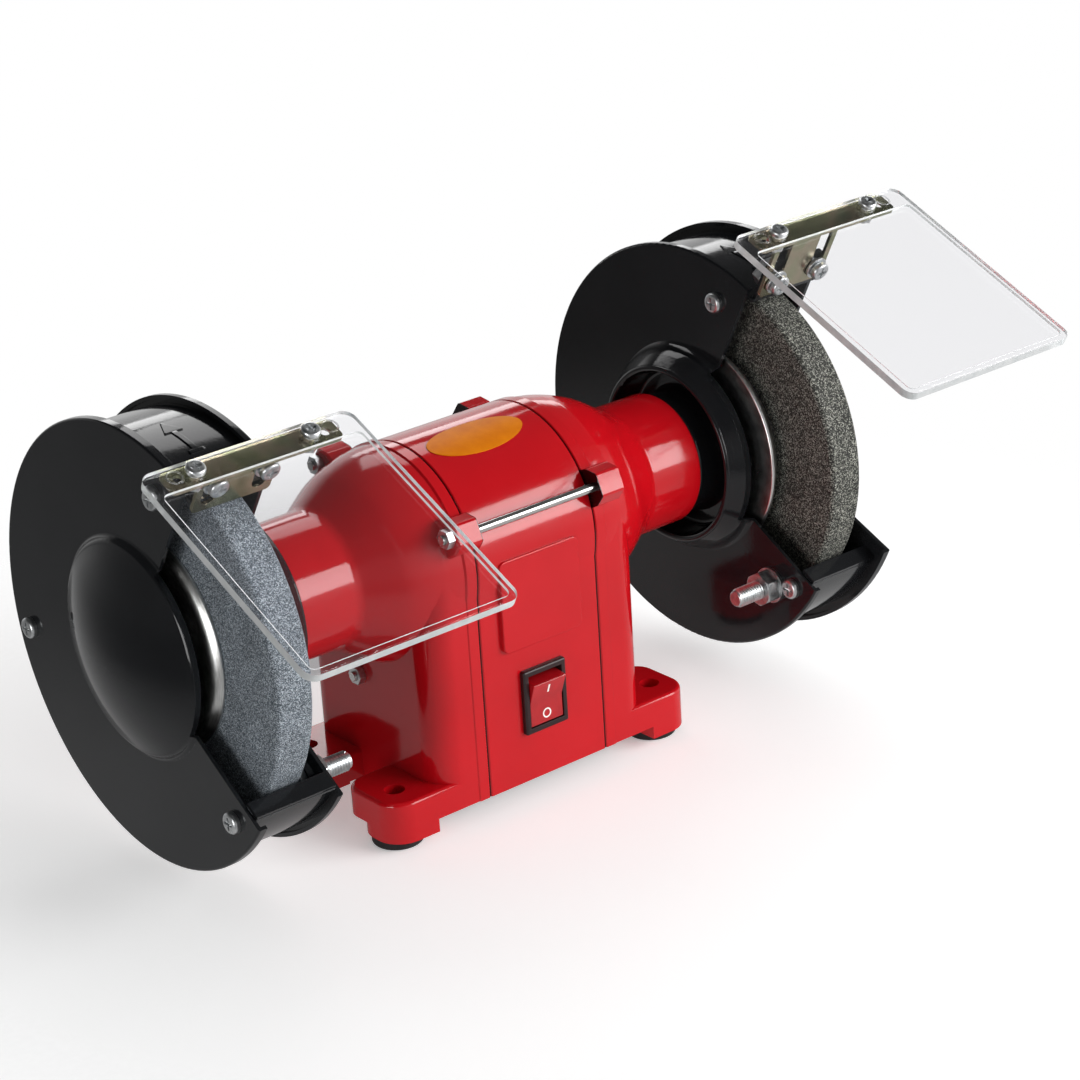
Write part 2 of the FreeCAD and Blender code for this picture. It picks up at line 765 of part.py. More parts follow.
def guard_band(side):
    """Curved sheet between plate and cover, with the shield tab and a turned lower lip."""
    start = PLATE_FACE + SHEET
    end = COVER_FACE - SHEET
    inner = BAND_RADIUS - SHEET
    low = 360 - (MOUTH_SPAN - 90)
    arc = sector(BAND_RADIUS, inner, 90, low, start, end)
    back = TAB_FRONT - SHEET
    knee = block(start, end, -TAB_FRONT, 0.4, inner, BAND_RADIUS)
    tab = block(start + 1.5, end - 1.5, -TAB_FRONT, -back, inner, TAB_TOP)
    tab = tab.makeFillet(3.0, edges_where(tab, lambda b: b.YLength > 1 and b.ZMin > TAB_TOP - 0.01))
    lip = turned_to(block(start, end, 0, SHEET, LIP_RADIUS, BAND_RADIUS - 0.4), low)
    ears = [band_ear(radius, angle, start) for radius, angle in PLATE_SPOTS]
    ears += [band_ear(radius, angle, end - SHEET) for radius, angle in COVER_SPOTS]
    body = joined([arc, knee, tab, lip] + ears)
    holes = []
    for x in (GUARD_MID - CLAMP_HALF, GUARD_MID + CLAMP_HALF):
        holes.append(Part.makeCylinder(2.9, 10, vec(x, -6, CLAMP_HEIGHT), Y_AXIS))
    return on_guard(less(body, holes), side)


def guard_screws(side):
    """Cross-head screws through plate and cover into the ears of the band."""
    screws = []
    for spot in COVER_SPOTS:
        y, z = polar(*spot)
        head = bar(4.3, COVER_FACE, COVER_FACE + 2.8, y, z)
        head = head.makeFillet(1.4, edges_where(head, lambda b: b.XMin > COVER_FACE + 1))
        screws.append(joined([head, bar(2.5, COVER_FACE - 9, COVER_FACE, y, z)]))
    for spot in PLATE_SPOTS:
        y, z = polar(*spot)
        head = bar(4.3, PLATE_FACE - 2.8, PLATE_FACE, y, z)
        head = head.makeFillet(1.4, edges_where(head, lambda b: b.XMax < PLATE_FACE - 1))
        screws.append(joined([head, bar(2.5, PLATE_FACE, PLATE_FACE + 9, y, z)]))
    return on_guard(group(screws), side)


def guard_nuts(side):
    nuts = []
    near = PLATE_FACE + 2 * SHEET
    far = COVER_FACE - 2 * SHEET - 4
    for spots, start in ((PLATE_SPOTS, near), (COVER_SPOTS, far)):
        for spot in spots:
            y, z = polar(*spot)
            nuts.append(hexagon(8.0, start, start + 4, y, z).cut(bar(2.5, start - 1, start + 5, y, z)))
    return on_guard(group(nuts), side)


def hub_screws(side):
    """Screws in the cup that hold the guard plate on the end of the neck."""
    screws = []
    seat = NECK_END + SHEET
    for angle in HUB_SCREW_ANGLES:
        y, z = polar(HUB_SCREW_CIRCLE, angle)
        screws.append(joined([bar(4.4, seat, seat + 2.6, y, z), bar(2.5, NECK_END - 12, seat, y, z)]))
    return on_side(group(screws), side)


def rest_stud(side):
    """Stud for a tool rest, with a flat head inside the guard."""
    y, z = polar(*STUD_SPOT)
    inside = PLATE_FACE + SHEET
    tip = PLATE_FACE - STUD_LENGTH
    shoulder = PLATE_FACE - STUD_FREE_END
    stud = bar(STUD_RADIUS, tip, shoulder, y, z)
    stud = stud.makeChamfer(0.9, edges_where(stud, lambda b: b.XMax < tip + 0.01))
    neck = bar(STUD_NECK, shoulder, inside, y, z)
    head = bar(6.6, inside, inside + 3.2, y, z)
    return on_guard(joined([stud, neck, head]), side)


def rest_nut(side):
    """Nut and washer that hold the stud."""
    y, z = polar(*STUD_SPOT)
    thread = bar(STUD_NECK, PLATE_FACE - 10, PLATE_FACE, y, z)
    hole = bar(STUD_RADIUS + 0.2, PLATE_FACE - 10, PLATE_FACE, y, z)
    washer = bar(7.6, PLATE_FACE - 1.5, PLATE_FACE, y, z)
    nut = hexagon(13.0, PLATE_FACE - 8, PLATE_FACE - 1.5, y, z)
    round_off = bar(7.3, PLATE_FACE - 8, PLATE_FACE - 1.5, y, z)
    round_off = round_off.makeChamfer(0.7, edges_where(round_off, lambda b: b.XLength < 0.01))
    return on_guard(group([washer.cut(hole), nut.common(round_off).cut(thread)]), side)


# Eye shields, drawn with the slide straight up


def clamp_screws(side):
    """Hex screws with washers in front of the bracket and nuts behind the tab."""
    pieces = []
    front = -TAB_FRONT - GAP - STRIP - GAP
    back = -TAB_FRONT + SHEET
    for x in (GUARD_MID - CLAMP_HALF, GUARD_MID + CLAMP_HALF):
        spot = vec(x, front, CLAMP_HEIGHT)
        washer = Part.makeCylinder(6.0, 1.2, spot, -Y_AXIS)
        head = hexagon(10.0, 0, 4)
        head.rotate(ORIGIN, Z_AXIS, -90)
        head.translate(vec(x, front - 1.2, CLAMP_HEIGHT))
        shank = Part.makeCylinder(2.9, back + 5 - front, spot, Y_AXIS)
        pieces.append(joined([washer, head, shank]))
        nut = hexagon(10.0, 0, 4)
        nut.rotate(ORIGIN, Z_AXIS, 90)
        nut.translate(vec(x, back, CLAMP_HEIGHT))
        pieces.append(nut.cut(shank))
    return on_guard(group(pieces), side)


def bracket_front():
    return -TAB_FRONT - GAP


def lifted(shape, side):
    """Tilts what lies on the flange about the bracket's bend."""
    moved = shape.copy()
    moved.rotate(vec(0, bracket_front(), BRACKET_TOP[side]), X_AXIS, -SHIELD_LIFT[side])
    return moved


def clamp_slot(x, side):
    low, high = SLOT_CENTRES[side]
    across = bracket_front() - 5
    ends = [Part.makeCylinder(SLOT_HALF, 10, vec(x, across, height), Y_AXIS) for height in (low, high)]
    return joined(ends + [block(x - SLOT_HALF, x + SLOT_HALF, across, across + 10, low, high)])


def shield_bracket(side):
    """Angle strip: a slotted plate on the tab and a wide flange under the shield."""
    back = bracket_front()
    top = BRACKET_TOP[side]
    plate = block(GUARD_MID - PLATE_HALF, GUARD_MID + PLATE_HALF, back - STRIP, back, BRACKET_LOW[side], top)
    low_corners = edges_where(plate, lambda b: b.YLength > 1 and b.ZMax < BRACKET_LOW[side] + 0.1)
    plate = plate.makeFillet(2.0, low_corners)
    slots = [clamp_slot(GUARD_MID + x, side) for x in (-CLAMP_HALF, CLAMP_HALF)]
    flange_block = block(
        GUARD_MID - FLANGE_HALF, GUARD_MID + FLANGE_HALF, back - FLANGE_DEPTH, back, top - STRIP, top
    )
    corners = edges_where(flange_block, lambda b: b.ZLength > 1)
    flange_block = flange_block.makeFillet(2.0, corners)
    holes = []
    for x in (-31.0, -SHIELD_SCREW_HALF, SHIELD_SCREW_HALF, 31.0):
        holes.append(post(2.1, GUARD_MID + x, back - 5, top - 5, top + 5))
    strip = lifted(less(flange_block, holes), side)
    return on_guard(joined([less(plate, slots), strip]), side)


def eye_shield(side):
    """Clear sheet with rounded corners, a thick edge at the bracket and a thinner window."""
    back = bracket_front() + 0.4
    front = back - SHIELD_LENGTH
    top = BRACKET_TOP[side]
    left = GUARD_MID - SHIELD_HALF
    right = GUARD_MID + SHIELD_HALF
    sheet = block(left, right, front, back, top, top + SHIELD_THICK)
    sheet = sheet.makeFillet(5.0, edges_where(sheet, lambda b: b.ZLength > 1))
    rim = SHIELD_RIM
    floor = top + SHIELD_FLOOR
    pocket = block(left + rim, right - rim, front + rim, back - SHIELD_SEAT, floor, floor + SHIELD_THICK)
    pocket = pocket.makeFillet(2.5, edges_where(pocket, lambda b: b.ZLength > 1))
    holes = []
    for x in (GUARD_MID - SHIELD_SCREW_HALF, GUARD_MID + SHIELD_SCREW_HALF):
        holes.append(post(2.1, x, back - 5.4, top - 1, top + 5))
    return on_guard(lifted(less(sheet, [pocket] + holes), side), side)


def shield_screws(side):
    """Pan-head screws through shield and flange with nuts underneath."""
    pieces = []
    top = BRACKET_TOP[side]
    under = top - STRIP
    seat = top + SHIELD_THICK
    y = bracket_front() - 5
    for x in (GUARD_MID - SHIELD_SCREW_HALF, GUARD_MID + SHIELD_SCREW_HALF):
        head = post(3.7, x, y, seat, seat + 2.4)
        head = head.makeFillet(1.2, edges_where(head, lambda b: b.ZMin > seat + 1))
        shank = post(2.0, x, y, under - 4.5, seat)
        pieces.append(joined([head, shank]))
        nut = hexagon(7.0, 0, 3)
        nut.rotate(ORIGIN, Y_AXIS, 90)
        nut.translate(vec(x, y, under))
        pieces.append(nut.cut(shank))
    return on_guard(lifted(group(pieces), side), side)


def save(name, shape):
    lifted_shape = shape.copy()
    lifted_shape.translate(vec(0, 0, SHAFT_HEIGHT))
    print(name, len(lifted_shape.Solids), round(lifted_shape.Volume), lifted_shape.isValid())
    lifted_shape.exportStep("parts/" + name + ".step")


os.makedirs("parts", exist_ok=True)

SINGLE = (
    stator_shell, tie_rods, tie_rod_nuts, label_plate, rubber_feet, base_plate, base_plate_screws,
    stator_core, stator_windings, shaft, rotor_core, rotor_cage, bearing_outer_rings,
    bearing_inner_rings, bearing_balls, capacitor, capacitor_clamp, cord_grommet,
    switch_housing, switch_rocker, switch_terminals,
)
PER_SIDE = (
    guard_plate, guard_band, guard_cover, guard_screws, guard_nuts, hub_screws, rest_stud, rest_nut,
    clamp_screws, shield_bracket, eye_shield, shield_screws,
)

for make in SINGLE:
    save(make.__name__, make())

for side in ("left", "right"):
    save(side + "_end_bell", on_side(end_bell(side), side))
    save(side + "_wheel", on_side(wheel(), side))
    save(side + "_inner_flange", on_side(inner_flange(), side))
    save(side + "_outer_flange", on_side(outer_flange(), side))
    save(side + "_spindle_nut", on_side(spindle_nut(), side))
    for make in PER_SIDE:
        save(side + "_" + make.__name__, make(side))
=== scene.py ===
import bpy
import json
from math import radians
from mathutils import Euler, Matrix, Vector


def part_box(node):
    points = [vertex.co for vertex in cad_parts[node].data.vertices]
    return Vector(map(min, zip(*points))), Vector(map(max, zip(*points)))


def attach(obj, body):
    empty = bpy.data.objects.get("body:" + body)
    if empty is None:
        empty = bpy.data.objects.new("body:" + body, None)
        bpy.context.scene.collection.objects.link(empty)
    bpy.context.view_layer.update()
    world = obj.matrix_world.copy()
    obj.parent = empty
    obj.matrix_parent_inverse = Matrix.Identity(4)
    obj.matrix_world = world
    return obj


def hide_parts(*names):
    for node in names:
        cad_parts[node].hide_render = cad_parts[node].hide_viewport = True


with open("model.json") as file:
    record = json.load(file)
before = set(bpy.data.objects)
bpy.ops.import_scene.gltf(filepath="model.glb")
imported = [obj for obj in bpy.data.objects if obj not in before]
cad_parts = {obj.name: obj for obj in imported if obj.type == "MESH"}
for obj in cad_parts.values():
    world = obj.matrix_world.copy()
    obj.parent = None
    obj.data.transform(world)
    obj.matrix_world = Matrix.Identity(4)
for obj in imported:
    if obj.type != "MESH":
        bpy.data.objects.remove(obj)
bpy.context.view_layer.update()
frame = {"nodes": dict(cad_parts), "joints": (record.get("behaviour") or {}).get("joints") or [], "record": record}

# Stator shell: the middle of the motor housing, a cast aluminium arch on a straight pedestal.
# It is sprayed with gloss red enamel after casting, so it shows a soft orange peel and a wet gloss.
# Both ends carry a small chamfer, which leaves a dark line where the end bells butt against it; the enamel darkens
# that line with painted shade.


def select_only(piece):
    bpy.ops.object.select_all(action="DESELECT")
    piece.select_set(True)
    bpy.context.view_layer.objects.active = piece


def linear(code):
    """Linear colour from an sRGB hex value."""
    parts = [int(code[i:i + 2], 16) / 255 for i in (1, 3, 5)]
    return tuple(p / 12.92 if p <= 0.04045 else ((p + 0.055) / 1.055) ** 2.4 for p in parts) + (1.0,)


def per_metre(millimetres):
    """Texture scale that gives a pattern of this size."""
    return 1000.0 / millimetres


def add(tree, kind, values=None, links=None, **settings):
    """Adds one node with its settings, its socket values and its links."""
    made = tree.nodes.new("ShaderNode" + kind)
    for key, value in settings.items():
        setattr(made, key, value)
    for key, value in (values or {}).items():
        made.inputs[key].default_value = value
    for key, source in (links or {}).items():
        tree.links.new(source, made.inputs[key])
    return made


def new_finish(name, **values):
    """A material with one principled shader; returns it with its node tree and Object coordinates."""
    made = bpy.data.materials.new(name)
    made.use_nodes = True
    tree = made.node_tree
    shader = tree.nodes["Principled BSDF"]
    for key, value in values.items():
        shader.inputs[key.replace("_", " ")].default_value = value
    place = add(tree, "TexCoord").outputs["Object"]
    return made, tree, shader, place


def feed(tree, shader, **sources):
    """Links node outputs to the shader's sockets, whose names have _ for a space here."""
    for key, source in sources.items():
        tree.links.new(source, shader.inputs[key.replace("_", " ")])


def ramp_colours(ramp, stops):
    """Sets a colour ramp's stops from (position, hex colour) pairs."""
    band = ramp.color_ramp
    while len(band.elements) < len(stops):
        band.elements.new(0.5)
    for element, (position, code) in zip(band.elements, stops):
        element.position = position
        element.color = linear(code)


def sprayed_enamel(name, thin, thick, peel_mm, specular):
    """Gloss enamel sprayed on metal: slight colour drift, fine orange peel and a wet gloss."""
    made, tree, shader, place = new_finish(name, IOR=1.5, Specular_IOR_Level=specular)
    drift = add(tree, "TexNoise", {"Scale": per_metre(45.0), "Detail": 3.0}, {"Vector": place})
    tone = add(tree, "ValToRGB", links={"Fac": drift.outputs["Fac"]})
    ramp_colours(tone, [(0.35, thin), (0.65, thick)])
    haze = add(tree, "TexNoise", {"Scale": per_metre(9.0), "Detail": 4.0}, {"Vector": place})
    gloss = add(
        tree, "MapRange", {"From Min": 0.3, "From Max": 0.7, "To Min": 0.07, "To Max": 0.13},
        {"Value": haze.outputs["Fac"]},
    )
    peel = add(tree, "TexNoise", {"Scale": per_metre(peel_mm), "Detail": 1.0}, {"Vector": place})
    relief = add(tree, "Bump", {"Strength": 0.03, "Distance": 0.0004}, {"Height": peel.outputs["Fac"]})
    feed(
        tree, shader, Base_Color=tone.outputs["Color"], Roughness=gloss.outputs["Result"],
        Normal=relief.outputs["Normal"],
    )
    return made, tree, shader, place, tone


BODY_OF = {name: body for body, names in frame["record"]["behaviour"]["bodies"].items() for name in names}
WELD_GAP = 0.000002
FLAT_ANGLE = radians(0.3)
SHARP_ANGLE = radians(32)


def welded_copy(name):
    """A copy of a CAD node with its triangles joined and its flat faces made whole."""
    select_only(frame["nodes"][name])
    bpy.ops.object.duplicate()
    piece = bpy.context.view_layer.objects.active
    piece.parent = None
    for key in list(piece.keys()):
        del piece[key]
    piece.name = name + "_finished"
    bpy.ops.mesh.customdata_custom_splitnormals_clear()
    bpy.ops.object.mode_set(mode="EDIT")
    bpy.ops.mesh.select_all(action="SELECT")
    bpy.ops.mesh.remove_doubles(threshold=WELD_GAP)
    bpy.ops.mesh.dissolve_limited(angle_limit=FLAT_ANGLE)
    bpy.ops.object.mode_set(mode="OBJECT")
    return piece


def apply_modifier(piece, kind, **settings):
    select_only(piece)
    bpy.ops.object.modifier_add(type=kind)
    made = piece.modifiers[-1]
    for key, value in settings.items():
        setattr(made, key, value)
    bpy.ops.object.modifier_apply(modifier=made.name)


def smooth_faces(piece):
    """Smooth shading that leaves flat faces flat and corners sharp."""
    select_only(piece)
    bpy.ops.object.shade_smooth_by_angle(angle=SHARP_ANGLE)
    apply_modifier(piece, "WEIGHTED_NORMAL", mode="FACE_AREA", weight=50, keep_sharp=True)


def round_edges(piece, edge_mm, segments=3):
    apply_modifier(
        piece, "BEVEL", width=edge_mm / 1000, segments=segments, limit_method="ANGLE",
        angle_limit=SHARP_ANGLE, harden_normals=False, use_clamp_overlap=True,
    )
    smooth_faces(piece)


def stands_for(piece, name, finish):
    """Puts a finished piece in the place of its CAD node."""
    piece.data.materials.clear()
    piece.data.materials.append(finish)
    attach(piece, BODY_OF[name])
    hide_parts(name)
    return piece


def finished(name, finish, edge_mm):
    """The CAD node as a welded piece with rounded edges and its finish."""
    piece = welded_copy(name)
    round_edges(piece, edge_mm)
    return stands_for(piece, name, finish)


# Painted shade darkens the chamfer of each seam, this far from the middle, and draws the dark line.
SEAM_PLACE = 0.030
SEAM_HALF = 0.0003
red_enamel, tree, shader, place, tone = sprayed_enamel(
    "red_gloss_enamel_on_cast_aluminium", "#B50B15", "#BC0F19", peel_mm=1.6, specular=0.5
)
across = add(tree, "SeparateXYZ", links={"Vector": place})
from_middle = add(tree, "Math", links={0: across.outputs["X"]}, operation="ABSOLUTE")
from_seam = add(tree, "Math", {1: SEAM_PLACE}, {0: from_middle.outputs["Value"]}, operation="SUBTRACT")
seam_gap = add(tree, "Math", links={0: from_seam.outputs["Value"]}, operation="ABSOLUTE")
# Mask of the painted seam shade: 0 in the seam band, 1 away from it.
clean = add(
    tree, "MapRange", {"From Min": 0.6 * SEAM_HALF, "From Max": 1.4 * SEAM_HALF},
    {"Value": seam_gap.outputs["Value"]},
)
# Painted shade: the seam band takes a dark red-black in place of the enamel tone.
painted_seam_shade = add(
    tree, "Mix", {"A": linear("#1A0304")}, {"Factor": clean.outputs["Result"], "B": tone.outputs["Color"]},
    data_type="RGBA",
)
feed(tree, shader, Base_Color=painted_seam_shade.outputs["Result"])
finished("stator_shell", red_enamel, edge_mm=0.35)

# End bells: cast aluminium ends with the shoulder, the neck, the foot pads and the tie-rod lugs in one.
# They take the same red enamel as the shell; the cast edges keep a small round that catches light.

SIDES = ("left", "right")
for side in SIDES:
    finished(side + "_end_bell", red_enamel, edge_mm=0.5)

# Tie rods and nuts: three bright drawn steel rods hold the bells against the shell.
# They run through the left lugs, where a zinc plated nut pulls each one up, and screw into the right lugs.


def drawn_steel():
    """Drawn and polished steel: bright, with faint lines along the rod."""
    made, tree, shader, place = new_finish("drawn_steel", Metallic=1.0, Anisotropic=0.3)
    squeeze = add(tree, "Mapping", {"Scale": (0.04, 1.0, 1.0)}, {"Vector": place})
    lines = add(
        tree, "TexNoise", {"Scale": per_metre(0.5), "Detail": 3.0}, {"Vector": squeeze.outputs["Vector"]}
    )
    tone = add(tree, "ValToRGB", links={"Fac": lines.outputs["Fac"]})
    ramp_colours(tone, [(0.3, "#B9B7B6"), (0.7, "#E4E2E0")])
    gloss = add(tree, "MapRange", {"To Min": 0.1, "To Max": 0.24}, {"Value": lines.outputs["Fac"]})
    feed(tree, shader, Base_Color=tone.outputs["Color"], Roughness=gloss.outputs["Result"])
    return made


def zinc_plate(name, dull, bright):
    """Bright zinc plate: a clean metal with small cloudy spangles and a soft sheen."""
    made, tree, shader, place = new_finish(name, Metallic=1.0)
    cloud = add(
        tree, "TexNoise", {"Scale": per_metre(2.2), "Detail": 5.0, "Roughness": 0.6}, {"Vector": place}
    )
    tone = add(tree, "ValToRGB", links={"Fac": cloud.outputs["Fac"]})
    ramp_colours(tone, [(0.3, dull), (0.7, bright)])
    gloss = add(tree, "MapRange", {"To Min": 0.22, "To Max": 0.46}, {"Value": cloud.outputs["Fac"]})
    pits = add(tree, "TexNoise", {"Scale": per_metre(0.6), "Detail": 2.0}, {"Vector": place})
    relief = add(tree, "Bump", {"Strength": 0.08, "Distance": 0.0002}, {"Height": pits.outputs["Fac"]})
    feed(
        tree, shader, Base_Color=tone.outputs["Color"], Roughness=gloss.outputs["Result"],
        Normal=relief.outputs["Normal"],
    )
    return made


bright_steel = drawn_steel()
bright_zinc = zinc_plate("bright_zinc_plate", "#B9BCBE", "#E6E8E8")
finished("tie_rods", bright_steel, edge_mm=0.3)
finished("tie_rod_nuts", bright_zinc, edge_mm=0.35)

# Label: an oval vinyl sticker on the crown of the shell, left bare.
# Flat orange print under a satin film, a little uneven where the film lies on the curve.

vinyl, tree, shader, place = new_finish("orange_vinyl_film", IOR=1.46, Specular_IOR_Level=0.08)
mottle = add(tree, "TexNoise", {"Scale": per_metre(6.0), "Detail": 4.0}, {"Vector": place})
tone = add(tree, "ValToRGB", links={"Fac": mottle.outputs["Fac"]})
ramp_colours(tone, [(0.3, "#CE6E00"), (0.7, "#DA7C02")])
film = add(tree, "Bump", {"Strength": 0.05, "Distance": 0.0003}, {"Height": mottle.outputs["Fac"]})
gloss = add(tree, "MapRange", {"To Min": 0.3, "To Max": 0.42}, {"Value": mottle.outputs["Fac"]})
feed(
    tree, shader, Base_Color=tone.outputs["Color"], Normal=film.outputs["Normal"],
    Roughness=gloss.outputs["Result"],
)
finished("label_plate", vinyl, edge_mm=0.08)

# Rubber feet and cord grommet: moulded black rubber, pushed into the foot bosses and the rear wall.
# Matt, with a fine dusty grain from the mould.

rubber, tree, shader, place = new_finish("moulded_rubber", IOR=1.5, Specular_IOR_Level=0.4)
dust = add(tree, "TexNoise", {"Scale": per_metre(1.2), "Detail": 6.0}, {"Vector": place})
tone = add(tree, "ValToRGB", links={"Fac": dust.outputs["Fac"]})
ramp_colours(tone, [(0.35, "#161314"), (0.75, "#262223")])
grain = add(tree, "Bump", {"Strength": 0.25, "Distance": 0.0003}, {"Height": dust.outputs["Fac"]})
gloss = add(tree, "MapRange", {"To Min": 0.5, "To Max": 0.75}, {"Value": dust.outputs["Fac"]})
feed(
    tree, shader, Base_Color=tone.outputs["Color"], Normal=grain.outputs["Normal"],
    Roughness=gloss.outputs["Result"],
)
finished("rubber_feet", rubber, edge_mm=0.5)
finished("cord_grommet", rubber, edge_mm=0.6)

# Base plate and its screws: a black painted steel sheet that closes the underside of the pedestal.
# Four zinc plated screws hold it in the corner posts of the bells.

black_enamel = sprayed_enamel(
    "black_gloss_enamel_on_sheet_steel", "#161719", "#1C1D1F", peel_mm=1.3, specular=0.4
)[0]
finished("base_plate", black_enamel, edge_mm=0.2)
finished("base_plate_screws", bright_zinc, edge_mm=0.4)

# Motor: stacked electrical steel, varnished copper, a cast aluminium cage and a drawn capacitor can.
# All of it sits closed in the housing, so the pieces keep their plain machined forms.


def speckled(name, dark, light, size_mm, rough):
    """A workshop metal with a fine two-tone grain."""
    made, tree, shader, place = new_finish(name, Metallic=1.0)
    grain = add(tree, "TexNoise", {"Scale": per_metre(size_mm), "Detail": 4.0}, {"Vector": place})
    tone = add(tree, "ValToRGB", links={"Fac": grain.outputs["Fac"]})
    ramp_colours(tone, [(0.3, dark), (0.7, light)])
    gloss = add(tree, "MapRange", {"To Min": rough, "To Max": rough + 0.2}, {"Value": grain.outputs["Fac"]})
    feed(tree, shader, Base_Color=tone.outputs["Color"], Roughness=gloss.outputs["Result"])
    return made


def painted(name, finish):
    """Gives a CAD node that stays as it is its finish."""
    piece = frame["nodes"][name]
    piece.data.materials.clear()
    piece.data.materials.append(finish)


laminations = speckled("stacked_electrical_steel", "#4C4C4E", "#77777A", size_mm=0.5, rough=0.4)
copper = speckled("varnished_copper_wire", "#8A4420", "#C06A34", size_mm=0.8, rough=0.3)
cast_aluminium = speckled("die_cast_aluminium", "#A6A8AA", "#C9CBCC", size_mm=1.5, rough=0.35)
can_aluminium = speckled("drawn_aluminium_can", "#B4B5B7", "#D2D3D4", size_mm=3.0, rough=0.25)
brass = speckled("stamped_brass", "#B08A3C", "#D2AE5E", size_mm=1.0, rough=0.28)
bearing_steel = speckled("ground_bearing_steel", "#9A9A9C", "#C4C4C6", size_mm=0.8, rough=0.15)
for name in ("stator_core", "rotor_core"):
    painted(name, laminations)
painted("stator_windings", copper)
painted("rotor_cage", cast_aluminium)
painted("capacitor", can_aluminium)
painted("capacitor_clamp", bright_zinc)
painted("switch_terminals", brass)
for name in ("bearing_outer_rings", "bearing_inner_rings", "bearing_balls"):
    painted(name, bearing_steel)
finished("shaft", bright_steel, edge_mm=0.3)

# Switch: a rocker in a moulded bezel, snapped into the front wall of the shell.
# The bezel is satin black plastic; the rocker is tinted red and lets a little light in.
# White I and O marks are printed on the rocker, one on each half.


def moulded_plastic(name, dark, light, rough, **values):
    """Injection moulded plastic: even colour, faint flow marks and a fine spark-eroded grain."""
    made, tree, shader, place = new_finish(name, IOR=1.5, **values)
    flow = add(tree, "TexNoise", {"Scale": per_metre(8.0), "Detail": 3.0}, {"Vector": place})
    tone = add(tree, "ValToRGB", links={"Fac": flow.outputs["Fac"]})
    ramp_colours(tone, [(0.3, dark), (0.7, light)])
    grain = add(tree, "TexNoise", {"Scale": per_metre(0.35), "Detail": 2.0}, {"Vector": place})
    relief = add(tree, "Bump", {"Strength": 0.06, "Distance": 0.0002}, {"Height": grain.outputs["Fac"]})
    gloss = add(tree, "MapRange", {"To Min": rough, "To Max": rough + 0.1}, {"Value": flow.outputs["Fac"]})
    feed(
        tree, shader, Base_Color=tone.outputs["Color"], Normal=relief.outputs["Normal"],
        Roughness=gloss.outputs["Result"],
    )
    return made


bezel_plastic = moulded_plastic("black_moulded_bezel", "#1E0C0E", "#2B1214", rough=0.32)
rocker_plastic = moulded_plastic(
    "red_tinted_rocker", "#9E0E16", "#B4141C", rough=0.16,
    Coat_Weight=0.4, Subsurface_Weight=0.15, Subsurface_Scale=0.002,
)
mark_white = moulded_plastic("white_pad_print", "#E9E4E0", "#F6F2EE", rough=0.4)
finished("switch_housing", bezel_plastic, edge_mm=0.3)
finished("switch_rocker", rocker_plastic, edge_mm=0.45)

ROCKER_JOINT = next(joint for joint in frame["joints"] if joint["name"] == "rocker_tilt")
PIVOT = Vector(ROCKER_JOINT["pos_m"])
UPPER_TILT = radians(20)
UPPER_FACE = PIVOT + Vector((0, -0.00852, 0.0044))
LOWER_FACE = PIVOT + Vector((0, -0.0065, -0.0070))
BAR_WIDTH = 0.0008
BAR_HEIGHT = 0.0038
RING_WIDTH = 0.0042
RING_LINE = 0.0006
RING_SIDES = 40
PRINT_THICK = 0.00016


def printed_mark(piece, name):
    """Gives a flat outline in edit mode its thickness and lets it ride on the rocker."""
    bpy.ops.object.mode_set(mode="OBJECT")
    piece.name = name
    bpy.ops.object.transform_apply(location=True, rotation=True, scale=True)
    apply_modifier(piece, "SOLIDIFY", thickness=PRINT_THICK, offset=0.0)
    piece.data.materials.append(mark_white)
    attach(piece, "rocker")


bpy.ops.object.select_all(action="DESELECT")
bpy.ops.mesh.primitive_plane_add(size=1, location=UPPER_FACE, rotation=(radians(90) + UPPER_TILT, 0, 0))
bpy.ops.object.mode_set(mode="EDIT")
bpy.ops.transform.resize(value=(BAR_WIDTH, BAR_HEIGHT, BAR_HEIGHT), orient_type="LOCAL")
printed_mark(bpy.context.view_layer.objects.active, "rocker_mark_on")

bpy.ops.object.select_all(action="DESELECT")
bpy.ops.mesh.primitive_circle_add(
    vertices=RING_SIDES, radius=RING_WIDTH / 2, fill_type="NGON",
    location=LOWER_FACE, rotation=(radians(90), 0, 0),
)
bpy.ops.object.mode_set(mode="EDIT")
bpy.ops.mesh.inset(thickness=RING_LINE)
bpy.ops.mesh.delete(type="FACE")
printed_mark(bpy.context.view_layer.objects.active, "rocker_mark_off")

# Grinding wheels: vitrified grit pressed into a disc, fine and blue-grey left, coarse and dark right.
# Each grain is a dull facet of its own tone, so the surface is matt, rough and speckled all over.


def vitrified_grit(name, grain_mm, dark, middle, light, sparkle):
    """Bonded abrasive: every grain has its own tone, with pits between the grains."""
    made, tree, shader, place = new_finish(name, IOR=1.6, Specular_IOR_Level=0.35)
    grains = add(tree, "TexVoronoi", {"Scale": per_metre(grain_mm)}, {"Vector": place})
    tint = add(tree, "SeparateColor", links={"Color": grains.outputs["Color"]})
    tone = add(tree, "ValToRGB", links={"Fac": tint.outputs["Red"]})
    ramp_colours(tone, [(0.15, dark), (0.6, middle), (sparkle, light)])
    clouds = add(tree, "TexNoise", {"Scale": per_metre(18.0), "Detail": 3.0}, {"Vector": place})
    worn = add(
        tree, "MapRange", {"From Min": 0.3, "From Max": 0.7, "To Min": 0.8, "To Max": 1.15},
        {"Value": clouds.outputs["Fac"]},
    )
    shade = add(
        tree, "VectorMath", links={0: tone.outputs["Color"], "Scale": worn.outputs["Result"]},
        operation="SCALE",
    )
    relief = add(tree, "Bump", {"Strength": 0.9, "Distance": 0.0004}, {"Height": tint.outputs["Green"]})
    gloss = add(tree, "MapRange", {"To Min": 0.6, "To Max": 0.95}, {"Value": tint.outputs["Blue"]})
    feed(
        tree, shader, Base_Color=shade.outputs["Vector"], Normal=relief.outputs["Normal"],
        Roughness=gloss.outputs["Result"],
    )
    return made


